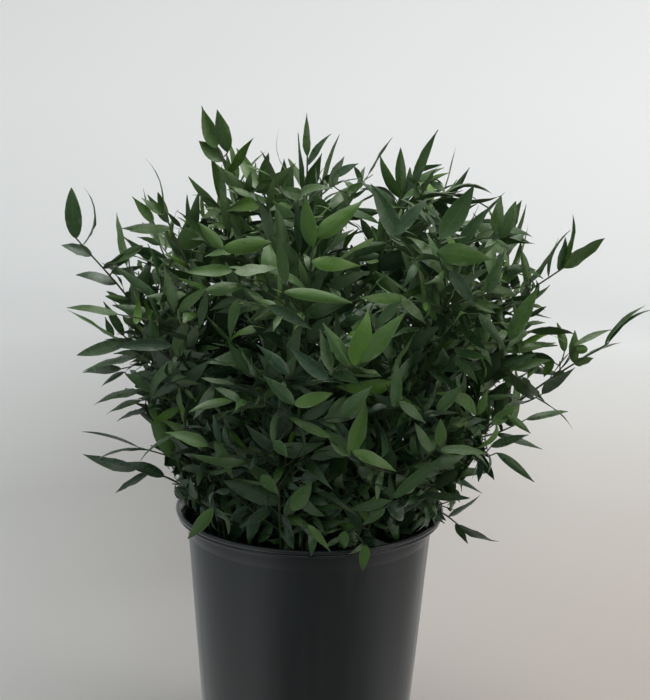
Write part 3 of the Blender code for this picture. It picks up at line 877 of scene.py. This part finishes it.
def grow_twigs(stems, room):
    """More side shoots down each axis, wherever the outer shell of the bush has room."""
    for i, stem in enumerate(stems):
        axis = stem.routes[0]
        back = LONE_TWIG_START if stem.plan.blades else TWIG_START
        side = 1
        for k in itertools.count(1):
            back += TWIG_STEP * rng_for("step", i, k).uniform(0.8, 1.2)
            start = along(axis, back * MM)[0]
            if start.z < LOWEST_TWIG:
                break
            if depth(start) > SHELL:
                continue
            side = -side
            for attempt in range(FINE_TRIES):
                rng = rng_for("twig", i, k, attempt)
                twig = shoot_at(axis, back * MM, side, rng, 0.95)
                if depth(twig[-1]) < -TWIG_PAST or twig[-1].z < LOWEST_TWIG_END:
                    continue
                proxy = tube_proxy(twig, TWIG_CLEAR_RADIUS, TIGHT)
                if room.clear(proxy, stem.skins[0]):
                    stem.branch(twig, room.add(proxy), TWIG_RADIUS)
                    break


def grow_leaf(stem, n, back, side, room, *keys):
    """A leaf on the stem's route n, redrawn until it fits, or left off where there is no need of it."""
    route, skin = stem.routes[n], stem.skins[n]
    start = along(route, back * MM)[0]
    if depth(start) > SHELL or any((leaf.root - start).length < LEAF_GAP for leaf in stem.leaves):
        return
    for attempt in range(FINE_TRIES):
        rng = rng_for(*keys, attempt)
        blade = loose_leaf(route, back * MM, side if attempt % 2 == 0 else -side, rng)
        if not fits(blade, RAGGED * rng.random() ** 2):
            continue
        if room.clear(blade.proxy(TIGHT, THIN), skin):
            room.add(blade.proxy(0, THIN))
            stem.hold(blade, route, back * MM)
            return


def grow_leaves(stems, room):
    """More leaves on every shoot, end leaves first, and on the axes."""
    for n, (back, side) in enumerate(TWIG_LEAVES):
        for i, stem in enumerate(stems):
            for k, route in enumerate(stem.routes[1:], 1):
                length = sum((b - a).length for a, b in zip(route, route[1:]))
                if back * MM <= length - ROOT_CLEAR and along(route, back * MM)[0].z >= LOWEST_LEAF:
                    grow_leaf(stem, k, back, side, room, "leaf", i, k, n)
    for i, stem in enumerate(stems):
        back = AXIS_LEAF_START
        for k in itertools.count(1):
            back += AXIS_LEAF_STEP
            if along(stem.routes[0], back * MM)[0].z < LOWEST_AXIS_LEAF:
                break
            grow_leaf(stem, 0, back, 1 if k % 2 else -1, room, "axis leaf", i, k)


# Meshes


class Skin:
    """Points and faces gathered for one mesh, with each face's marks and finish."""

    def __init__(self):
        self.points, self.places, self.faces = [], [], []
        self.marks = {"tone": [], "young": [], "under": []}
        self.finish = []
        self.count = 0

    def add(self, points, places, faces, finish, **marks):
        self.points.append(points)
        self.places.append(places)
        self.faces += [[corner + self.count for corner in face] for face in faces]
        self.count += len(points)
        self.finish += [finish] * len(faces)
        for key, values in self.marks.items():
            given = marks.get(key, 0)
            values += list(given) if hasattr(given, "__len__") else [given] * len(faces)

    def mesh(self, name, sharp):
        made = bpy.data.meshes.new(name)
        made.from_pydata(np.concatenate(self.points).tolist(), [], self.faces)
        corners = np.zeros(len(made.loops), int)
        made.loops.foreach_get("vertex_index", corners)
        layer = made.uv_layers.new(name="places")
        layer.data.foreach_set("uv", np.concatenate(self.places)[corners].ravel())
        for key, values in self.marks.items():
            made.attributes.new(key, "FLOAT", "FACE").data.foreach_set("value", values)
        made.polygons.foreach_set("material_index", self.finish)
        made.shade_smooth()
        made.set_sharp_from_angle(angle=math.radians(sharp))
        return made


def ring_faces(rows, ring):
    """The faces of a closed skin: a root point, rows of points in rings, and an end point."""
    faces = []
    end = 1 + ring * rows
    for k in range(ring):
        n = (k + 1) % ring
        faces.append((0, 1 + n, 1 + k))
        for r in range(rows - 1):
            a, b = 1 + r * ring + k, 1 + r * ring + n
            faces.append((a, b, b + ring, a + ring))
        faces.append((end - ring + k, end - ring + n, end))
    return faces


def bush_tone(blade, rng):
    """How light a leaf's green is, with painted light and shade by place and painted shade deep in the bush,
    and how fresh.
    """
    rise = (blade.root.z - BUCKET_HEIGHT) / BUSH_HEIGHT
    pale = 0.0
    # Painted light and shade: leaves paler or darker by place, at the first place partly leaves that are paler
    # themselves
    for x, z, reach, amount in PALE_LEAF_AND_PAINTED_LIGHT_SPOTS:
        apart = math.hypot(blade.root.x / MM - x, blade.root.z / MM - z)
        pale += amount * max(0.0, 1 - apart / reach)
    # Painted shade: leaves deep in the bush are drawn darker, towards the dark green
    shade = 0.0 if blade.fresh is not None else min(DEEP_PAINTED_SHADE, max(0.0, depth(blade.root) / DEEP_PAINTED_SHADE_REACH))
    tone = within(rng.gauss(TONE + TONE_RISE * rise + pale - shade, TONE_SPREAD))
    if blade.fresh is not None:
        return tone, blade.fresh
    young = rng.uniform(0.4, 0.9) if rng.random() < FRESH_SHARE else rng.uniform(0, 0.22)
    return tone, young + FRESH_RISE * max(0.0, rise)


def leaf_frame(blade, t, rng):
    """The middle of a leaf at shares of its length, and the leaf's direction, side and normal there."""
    bend = blade.arch if abs(blade.arch) > 1e-4 else 1e-4
    curl = rng.gauss(0.12, 0.3)
    turn = bend * t + curl * t**4
    heading, facing = np.array(blade.heading), np.array(blade.facing)
    centre = np.outer(np.sin(bend * t) / bend, heading) - np.outer((1 - np.cos(bend * t)) / bend, facing)
    centre -= np.outer(curl * t**5 / 5, facing)
    sickle = rng.uniform(-0.14, 0.14)
    centre += np.outer(sickle * t * t, np.cross(heading, facing))
    centre = np.array(blade.root) + blade.length * centre
    tangent = np.outer(np.cos(turn), heading) - np.outer(np.sin(turn), facing)
    normal = np.outer(np.cos(turn), facing) + np.outer(np.sin(turn), heading)
    side = np.cross(tangent, normal)
    swing = (blade.twist * t)[:, None]
    side = side * np.cos(swing) + np.cross(tangent, side) * np.sin(swing)
    return centre, tangent, side, np.cross(side, tangent)


def leaf_half_widths(blade, t, rng):
    """Half the width of a leaf at shares of its length, which is pointed at both ends."""
    base = rng.uniform(0.6, 0.78)
    point = base * rng.uniform(1.45, 2.0)
    if blade.width > ROUND_LEAF * blade.length:
        base, point = ROUND_ENDS
    widest = base / (base + point)
    half = t**base * (1 - t) ** point / (widest**base * (1 - widest) ** point)
    half = np.maximum(blade.width / 2 * half, NARROW)
    half[-1] = max(half[-1], NARROW_END)
    return half


def leaf_lift(half, t, rng):
    """How far the points round each station stand off the leaf's middle: its cup, waves and thickness."""
    cup = rng.uniform(-0.34, 0.36)
    wave = rng.uniform(0.03, 0.2)
    waves = rng.uniform(1.2, 2.6)
    phase = rng.uniform(0, math.tau)
    ripple = np.sin(math.tau * waves * t + phase)[:, None] * (RING_SIDE > 0)
    ripple = ripple + np.sin(math.tau * waves * t + phase + 1.9)[:, None] * (RING_SIDE < 0)
    lift = cup * (1 - RING_SIDE**2) + wave * ripple * RING_SIDE**2
    return half[:, None] * lift + RING_HEIGHT * np.minimum(1, half / FULL_THICKNESS)[:, None]


def add_leaf(skin, blade, rng):
    """One leaf: a thin closed solid with a midrib, curved across and along, with a slightly wavy edge."""
    t = STATIONS if depth(blade.root) < INNER or blade.fresh is not None else INNER_STATIONS
    centre, tangent, side, normal = leaf_frame(blade, t, rng)
    half = leaf_half_widths(blade, t, rng)
    lift = leaf_lift(half, t, rng)
    reach = side[:, None] * (half[:, None] * RING_SIDE)[..., None]
    rings = centre[:, None] + reach + normal[:, None] * lift[..., None]
    root = np.array(blade.root) - ROOT_SUNK * np.array(blade.heading)
    last = centre[-1] + tangent[-1] * blade.length * LAST_SHARE
    points = np.concatenate([[root], rings.reshape(-1, 3), [last]])
    u = np.tile(0.5 + RING_SIDE / 2, len(t))
    v = np.repeat(t, RING)
    places = np.stack([np.concatenate([[0.5], u, [0.5]]), np.concatenate([[0], v, [1]])], axis=1)
    tone, young = bush_tone(blade, rng)
    faces = ring_faces(len(t), RING)
    under = [1.0 if k < len(faces) / 2 else 0.0 for k in range(len(faces))]
    skin.add(points, places, faces, 0, tone=tone, young=young, under=under)


def add_tube(skin, route, radius, tip_radius):
    """A smooth round stem along a route."""
    line = [rounded(route, k, s / ROUTE_SPLITS) for k in range(len(route) - 1) for s in range(ROUTE_SPLITS)]
    line.append(route[-1])
    start = (line[1] - line[0]).normalized()
    points = [line[0] - start * radius * 0.4]
    places = [(0.5, 0)]
    side = beside(start)
    total = len(line) - 1
    for k, point in enumerate(line):
        ahead = (line[min(k + 1, total)] - line[max(k - 1, 0)]).normalized()
        side = across(side, ahead)
        other = ahead.cross(side)
        size = radius + (tip_radius - radius) * k / total
        for n in range(TUBE_SIDES):
            angle = math.tau * n / TUBE_SIDES
            points.append(point + size * (math.cos(angle) * side + math.sin(angle) * other))
            places.append((n / TUBE_SIDES, k / total))
    points.append(line[-1] + (line[-1] - line[-2]).normalized() * tip_radius)
    places.append((0.5, 1))
    faces = ring_faces(len(line), TUBE_SIDES)
    skin.add(np.array(points), np.array(places), faces, 1, tone=STEM_TONE)


def add_object(name, data):
    made = bpy.data.objects.new(name, data)
    bpy.context.scene.collection.objects.link(made)
    return made


def build_stem(stem, finishes):
    """The stem's fine piece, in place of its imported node."""
    skin = Skin()
    for k, (route, radius) in enumerate(zip(stem.routes, stem.radii)):
        add_tube(skin, route, radius, TIP_THIN if k else TIP_THIN * 1.3)
    for n, blade in enumerate(stem.leaves):
        add_leaf(skin, blade, rng_for("fine", stem.name, n))
    made = skin.mesh(stem.name + "_fine", LEAF_SHARP)
    for finish in finishes:
        made.materials.append(finish)
    piece = add_object(stem.name + "_fine", made)
    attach(piece, "root")
    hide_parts(stem.name)


def arc(centre, radius, first, last, steps):
    """Points on a round of the bucket's section, from one angle to another in degrees."""
    found = []
    for k in range(steps + 1):
        angle = math.radians(first + (last - first) * k / steps)
        found.append((centre[0] + radius * math.cos(angle), centre[1] + radius * math.sin(angle)))
    return found


def fine_bucket_profile():
    """Radius and height in millimetres: up the bucket's inside, over the two beads of its lip, and down."""
    inside = [(0, 4), (94, 4)] + arc((94, 7), 3, -80, -5, 4)
    inside += [(101, 60), (108.5, 140), (115, 225), (119.6, 284), (120.6, 289), (123.2, 293.5), (127, 297)]
    lip = arc((131.1, 297.6), 2.4, 140, -70, 14)
    groove = [(131.3, 295.0), (131.0, 294.5)]
    bead = arc((130.3, 292.9), 1.5, 55, -95, 8)
    under = [(127.0, 290.9), (124.2, 290.2), (122.9, 289.2), (122.3, 286.5)]
    step = [(122.05, 284), (121.5, 276.6), (121.15, 275.9), (121.1, 274.9)]
    wall = [(115.6, 204), (109.4, 122), (103.6, 44), (100.9, 8)]
    foot = arc((98.1, 2.6), 2.6, 0, -90, 5)
    base = [(94, 0), (92.4, 0.4), (91.2, 1.8), (90, 2.2), (40, 2.4), (0, 2.4)]
    return inside + lip + groove + bead + under + step + wall + foot + base


def turned_mesh(name, profile, steps, sharp):
    """A closed mesh turned from a section that starts and ends on the axis, or an open one that doesn't."""
    rows = [(r, z) for r, z in profile if r > 1e-9]
    points, places = [], []
    for k in range(steps):
        angle = math.tau * k / steps
        for i, (r, z) in enumerate(rows):
            points.append((r * math.cos(angle), r * math.sin(angle), z))
            places.append((k / steps, i / len(rows)))
    count = len(rows)
    faces = band_faces(steps, count)
    if profile[0][0] < 1e-9:
        points.append((0, 0, profile[0][1]))
        places.append((0, 0))
        for k in range(steps):
            faces.append((len(points) - 1, k * count, (k + 1) % steps * count))
    if profile[-1][0] < 1e-9:
        points.append((0, 0, profile[-1][1]))
        places.append((0, 1))
        for k in range(steps):
            faces.append((len(points) - 1, (k + 1) % steps * count + count - 1, k * count + count - 1))
    skin = Skin()
    skin.add(np.array(points, float), np.array(places, float), faces, 0)
    return skin.mesh(name, sharp)


# Materials


class Finish:
    """A procedural material, built node by node."""

    def __init__(self, name):
        self.material = bpy.data.materials.new(name)
        self.material.use_nodes = True
        self.tree = self.material.node_tree
        self.shader = self.tree.nodes["Principled BSDF"]

    def node(self, kind, **settings):
        made = self.tree.nodes.new("ShaderNode" + kind)
        for key, value in settings.items():
            setattr(made, key, value)
        return made

    def put(self, socket, value):
        """Sets a socket to a value, or joins it to the output that feeds it."""
        if isinstance(value, bpy.types.NodeSocket):
            self.tree.links.new(value, socket)
        elif hasattr(value, "__len__") and len(value) == 3 and socket.type == "RGBA":
            socket.default_value = (*value, 1)
        else:
            socket.default_value = value

    def math(self, operation, first, second=0.0):
        made = self.node("Math", operation=operation)
        self.put(made.inputs[0], first)
        self.put(made.inputs[1], second)
        return made.outputs[0]

    def times(self, first, second):
        return self.math("MULTIPLY", first, second)

    def plus(self, first, second):
        return self.math("ADD", first, second)

    def mix(self, share, first, second, blend="MIX"):
        made = self.node("Mix", data_type="RGBA", blend_type=blend)
        self.put(made.inputs["Factor"], share)
        self.put(made.inputs[6], first)
        self.put(made.inputs[7], second)
        return made.outputs[2]

    def spread(self, value, low, high, first=0.0, second=1.0):
        """Turns the range from low to high into the range from first to second."""
        made = self.node("MapRange")
        for socket, given in zip(made.inputs, (value, low, high, first, second)):
            self.put(socket, given)
        return made.outputs[0]

    def shade(self, value):
        """A grey of the given strength."""
        made = self.node("CombineColor")
        for socket in made.inputs:
            self.put(socket, value)
        return made.outputs[0]

    def mark(self, name):
        return self.node("Attribute", attribute_name=name).outputs["Fac"]

    def place(self):
        return self.node("TexCoord").outputs["Object"]

    def leaf_place(self):
        return self.node("UVMap", uv_map="places").outputs[0]

    def parts(self, vector):
        """The three numbers of a vector."""
        made = self.node("SeparateXYZ")
        self.put(made.inputs[0], vector)
        return made.outputs

    def noise(self, vector, scale, detail):
        made = self.node("TexNoise")
        self.put(made.inputs["Vector"], vector)
        made.inputs["Scale"].default_value = scale
        made.inputs["Detail"].default_value = detail
        return made.outputs["Fac"]

    def stretch(self, vector, scale):
        made = self.node("Mapping")
        self.put(made.inputs["Vector"], vector)
        made.inputs["Scale"].default_value = scale
        return made.outputs[0]

    def bump(self, height, distance, strength=1.0, before=None):
        made = self.node("Bump")
        made.inputs["Strength"].default_value = strength
        made.inputs["Distance"].default_value = distance
        self.put(made.inputs["Height"], height)
        if before is not None:
            self.put(made.inputs["Normal"], before)
        return made.outputs[0]

    def set(self, **sockets):
        for key, value in sockets.items():
            self.put(self.shader.inputs[key.replace("_", " ")], value)


def leaf_finish():
    """Leathery green: darker or lighter leaf by leaf, partly as painted light and shade, with a pale midrib,
    fine veins and a greyer back.
    """
    made = Finish("leaf_green_fine")
    where = made.place()
    u = made.parts(made.leaf_place())[0]
    off = made.math("ABSOLUTE", made.math("SUBTRACT", u, 0.5))
    under = made.mark("under")
    # The leaf's own darker or lighter green, mixed with painted light and shade
    colour = made.mix(made.mark("tone"), LEAF_DARK_AND_SHADE, LEAF_LIGHT)
    colour = made.mix(made.mark("young"), colour, LEAF_FRESH)
    mottle = made.noise(where, 95, 3)
    colour = made.mix(made.spread(mottle, 0.35, 0.7, 0.0, 0.28), colour, (0.029, 0.06, 0.022))
    veins = made.math("SINE", made.times(u, 82))
    veins = made.times(veins, made.spread(made.noise(where, 240, 2), 0.3, 0.7, 0.4, 1.0))
    colour = made.mix(made.spread(veins, 0.2, 1.0, 0.0, 0.3), colour, (0.064, 0.116, 0.032))
    colour = made.mix(under, colour, made.mix(0.5, colour, (0.075, 0.115, 0.05)))
    rib = made.spread(off, 0.01, 0.035, 1.0, 0.0)
    colour = made.mix(made.times(rib, 0.22), colour, (0.12, 0.2, 0.07))
    rim = made.spread(off, 0.455, 0.49)
    colour = made.mix(made.times(rim, 0.4), colour, (0.13, 0.2, 0.075))
    shine = made.spread(made.noise(where, 160, 2), 0.3, 0.7, 0.19, 0.42)
    shine = made.plus(shine, made.times(under, 0.16))
    shine = made.plus(shine, made.times(made.mark("young"), 0.18))
    ridges = made.bump(veins, 0.00008, 0.5)
    swell = made.bump(made.noise(where, 130, 1), 0.0008, 0.5, ridges)
    dip = made.bump(rib, 0.0003, -0.6, swell)
    made.set(Base_Color=colour, Roughness=shine, Normal=dip)
    made.shader.inputs["Specular IOR Level"].default_value = 0.42
    return made.material


def stem_finish():
    """Green stems that turn browner in patches, with fine ribs along them."""
    made = Finish("stem_green_fine")
    where = made.place()
    patches = made.noise(where, 22, 2)
    colour = made.mix(made.spread(patches, 0.4, 0.62), (0.045, 0.088, 0.024), (0.075, 0.085, 0.03))
    ribs = made.math("SINE", made.times(made.parts(made.leaf_place())[0], 75))
    colour = made.mix(made.spread(ribs, 0, 1, 0, 0.25), colour, (0.03, 0.06, 0.02))
    shine = made.spread(patches, 0.3, 0.7, 0.42, 0.6)
    made.set(Base_Color=colour, Roughness=shine, Normal=made.bump(ribs, 0.00015))
    return made.material


def bucket_finish():
    """Black moulded plastic: satin, a little uneven, with dust and light rubbing on it, and a painted sheen in
    a lighter upright band at the wall's left front.
    """
    made = Finish("black_plastic_fine")
    where = made.place()
    broad = made.noise(where, 7, 3)
    fine = made.noise(where, 900, 2)
    streaks = made.noise(made.stretch(where, (60, 60, 4)), 1, 3)
    colour = made.mix(made.spread(broad, 0.35, 0.7), (0.0092, 0.0116, 0.012), (0.012, 0.0146, 0.0148))
    colour = made.mix(made.spread(streaks, 0.5, 0.75, 0.0, 0.35), colour, (0.021, 0.022, 0.022))
    specks = made.node("TexVoronoi")
    made.put(specks.inputs["Vector"], where)
    specks.inputs["Scale"].default_value = 60
    dust = made.spread(specks.outputs["Distance"], 0.03, 0.05, 1.0, 0.0)
    chosen = made.math("GREATER_THAN", made.noise(where, 40, 0), 0.62)
    dust = made.times(dust, chosen)
    colour = made.mix(made.times(dust, 0.5), colour, (0.16, 0.15, 0.13))
    x, y, height = made.parts(where)
    bearing = made.math("ARCTAN2", x, made.times(y, -1.0))
    # Painted sheen: a lighter upright band on the upper wall at the left front, where a fold catches the light
    sheen_band = made.times(made.spread(bearing, -0.66, -0.46), made.spread(bearing, -0.455, -0.44, 1.0, 0.0))
    painted_sheen = made.times(sheen_band, made.spread(height, 0.16, 0.27))
    colour = made.mix(made.times(painted_sheen, 0.5), colour, (0.02, 0.023, 0.025))
    shine = made.plus(made.spread(broad, 0.3, 0.7, 0.27, 0.37), made.spread(streaks, 0.5, 0.8, 0.0, 0.12))
    shine = made.plus(shine, made.times(dust, 0.3))
    shine = made.math("SUBTRACT", shine, made.spread(height, 0.286, 0.291, 0.0, 0.17))
    grain = made.bump(fine, 0.00004, 0.3)
    made.set(Base_Color=colour, Roughness=shine, Normal=made.bump(broad, 0.0006, 0.25, grain))
    return made.material


def stage_finish():
    """A pale sweep with painted light and shade: painted shade near the object and low on the left, painted
    light far off and to the right, and a warmer painted shade low on the right.
    """
    made = Finish("pale_sweep")
    where = made.place()
    x, y, z = made.parts(where)
    flat = made.math("SQRT", made.plus(made.times(x, x), made.times(y, y)))
    far = made.plus(flat, z)
    # Painted shade near the object, painted light far off
    colour = made.mix(made.spread(far, 0.3, 1.0), (0.39, 0.387, 0.373), (0.389, 0.389, 0.378))
    colour = made.mix(made.spread(far, 1.0, 2.2), colour, (0.64, 0.645, 0.64))
    colour = made.mix(made.spread(far, 2.2, 4.2), colour, (0.74, 0.745, 0.74))
    across_it = made.math("DIVIDE", x, made.plus(made.times(flat, 0.22), 0.3))
    right = made.spread(across_it, -1.0, 1.0)
    # Warmer painted shade low on the right, near the object
    warm = made.times(right, made.spread(far, 0.3, 2.2, 1.0, 0.0))
    # Painted shade low on the left, near the object
    dip = made.times(made.spread(across_it, -1.1, -0.4), made.spread(across_it, 0.0, 0.3, 1.0, 0.0))
    dip = made.times(dip, made.spread(far, 0.25, 0.6, 0.3, 1.0))
    dip = made.times(dip, made.spread(far, 1.0, 2.8, 0.3, 0.0))
    # Painted light in a band to the right
    lift = made.times(made.spread(far, 0.5, 1.1), made.spread(far, 1.5, 2.6, 0.19, 0.0))
    lift = made.times(lift, made.spread(across_it, 0.2, 0.8))
    # The painted shade and light together, as one factor
    painted_light_and_shade = made.plus(made.math("SUBTRACT", 1.0, dip), lift)
    # Painted light: darker to the left, lighter to the right
    colour = made.mix(1.0, colour, made.mix(right, (0.9, 0.9, 0.9), (1.05, 1.045, 1.035)), "MULTIPLY")
    colour = made.mix(made.times(warm, 0.9), colour, (0.355, 0.312, 0.286))
    colour = made.mix(1.0, colour, made.shade(painted_light_and_shade), "MULTIPLY")
    # Painted light: the sweep gives off light far off, more to the right
    painted_glow = made.times(made.spread(far, 2.0, 5.0, 0.0, 0.24), made.spread(right, 0.0, 1.0, 0.88, 1.14))
    made.set(Base_Color=colour, Roughness=0.85, Emission_Color=(1.0, 1.0, 0.995), Emission_Strength=painted_glow)
    made.shader.inputs["Specular IOR Level"].default_value = 0.1
    return made.material


def around_finish():
    """Plain light, as strong as its mark says, bluer on the left and warmer on the right."""
    made = Finish("reflected_light")
    side = made.parts(made.place())[0]
    colour = made.mix(made.spread(side, -0.5, 0.5), (0.93, 0.98, 1.0), (1.0, 0.97, 0.93))
    made.set(Base_Color=(0, 0, 0), Roughness=1.0, Emission_Color=colour, Emission_Strength=made.mark("light"))
    return made.material


# Studio


def add_camera():
    camera = add_object("camera", bpy.data.cameras.new("camera"))
    camera.data.lens = CAMERA_LENS
    camera.data.sensor_width = SENSOR
    down = Matrix.Rotation(math.radians(90 - CAMERA_DOWN), 4, "X")
    roll = Matrix.Rotation(math.radians(CAMERA_ROLL), 4, "Z")
    camera.matrix_world = Matrix.Translation(CAMERA_PLACE) @ down @ roll
    bpy.context.scene.camera = camera


def add_light(name, place, aim, size, power, colour, mirrored):
    """A soft rectangular light that the camera doesn't see, nor gloss where it isn't to be mirrored."""
    lamp = bpy.data.lights.new(name, "AREA")
    lamp.shape = "RECTANGLE"
    lamp.size, lamp.size_y = size
    lamp.energy = power
    lamp.color = colour
    obj = add_object(name, lamp)
    obj.location = place
    obj.rotation_euler = (Vector(aim) - Vector(place)).to_track_quat("-Z", "Y").to_euler()
    obj.visible_camera = False
    obj.visible_glossy = mirrored


def add_stage():
    """A round pale sweep under and behind the object, and what its gloss sees round it."""
    wall = SWEEP_FLOOR + SWEEP_CURVE
    profile = [(0, 0), (1.2, 0), (SWEEP_FLOOR, 0)]
    for a in np.linspace(0.1, math.pi / 2, 14):
        profile.append((SWEEP_FLOOR + SWEEP_CURVE * math.sin(a), SWEEP_CURVE - SWEEP_CURVE * math.cos(a)))
    profile += [(wall, 2.4), (wall, SWEEP_TOP)]
    mesh = turned_mesh("sweep", profile, SWEEP_ROUND, SWEEP_SHARP)
    mesh.flip_normals()
    mesh.materials.append(stage_finish())
    sweep = add_object("sweep", mesh)
    sweep.visible_diffuse = False
    add_around()


def add_around():
    """A shell round the object that only glossy surfaces see."""
    points, lights = [], []
    for k in range(AROUND_STEPS):
        angle = 360 * k / AROUND_STEPS - 180
        strength = np.interp(angle, [row[0] for row in AROUND], [row[1] for row in AROUND])
        for radius, height, share in AROUND_SECTION:
            points.append(polar(radius, math.radians(-90 - angle), height))
            lights.append(strength * share)
    mesh = bpy.data.meshes.new("reflected_light")
    mesh.from_pydata(points, [], band_faces(AROUND_STEPS, len(AROUND_SECTION)))
    mesh.attributes.new("light", "FLOAT", "POINT").data.foreach_set("value", lights)
    mesh.materials.append(around_finish())
    around = add_object("reflected_light", mesh)
    around.visible_camera = around.visible_diffuse = around.visible_shadow = False
    return around


def add_world():
    """Soft light that comes mostly from above."""
    world = bpy.data.worlds.new("studio")
    world.use_nodes = True
    nodes, links = world.node_tree.nodes, world.node_tree.links
    back = nodes["Background"]
    back.inputs[0].default_value = WORLD_COLOUR
    where = nodes.new("ShaderNodeTexCoord")
    split = nodes.new("ShaderNodeSeparateXYZ")
    links.new(where.outputs["Generated"], split.inputs[0])
    rise = nodes.new("ShaderNodeMapRange")
    for socket, value in zip(list(rise.inputs)[1:5], (*WORLD_RANGE, WORLD_LOW, WORLD_HIGH)):
        socket.default_value = value
    links.new(split.outputs[2], rise.inputs[0])
    links.new(rise.outputs[0], back.inputs[1])
    bpy.context.scene.world = world
    bpy.context.scene.view_settings.view_transform = "Standard"


add_camera()
add_stage()
add_world()
for light in LIGHTS:
    add_light(*light)

bucket_section = [(r * MM, z * MM) for r, z in fine_bucket_profile()]
bucket_mesh = turned_mesh("bucket_fine", bucket_section, BUCKET_ROUND, BUCKET_SHARP)
bucket_mesh.materials.append(bucket_finish())
bucket = add_object("bucket_fine", bucket_mesh)
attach(bucket, "root")
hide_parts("bucket")

space = Room()
space.add(bucket_proxy())
bunch = place_axes(space)
place_lone_blades(bunch, space)
place_shoots(bunch, space)
place_blades(bunch, space)
splay_end_blades(bunch, space)
place_sprays(bunch, space)
grow_twigs(bunch, space)
grow_leaves(bunch, space)
finishes = (leaf_finish(), stem_finish())
for leafy_stem in bunch:
    build_stem(leafy_stem, finishes)
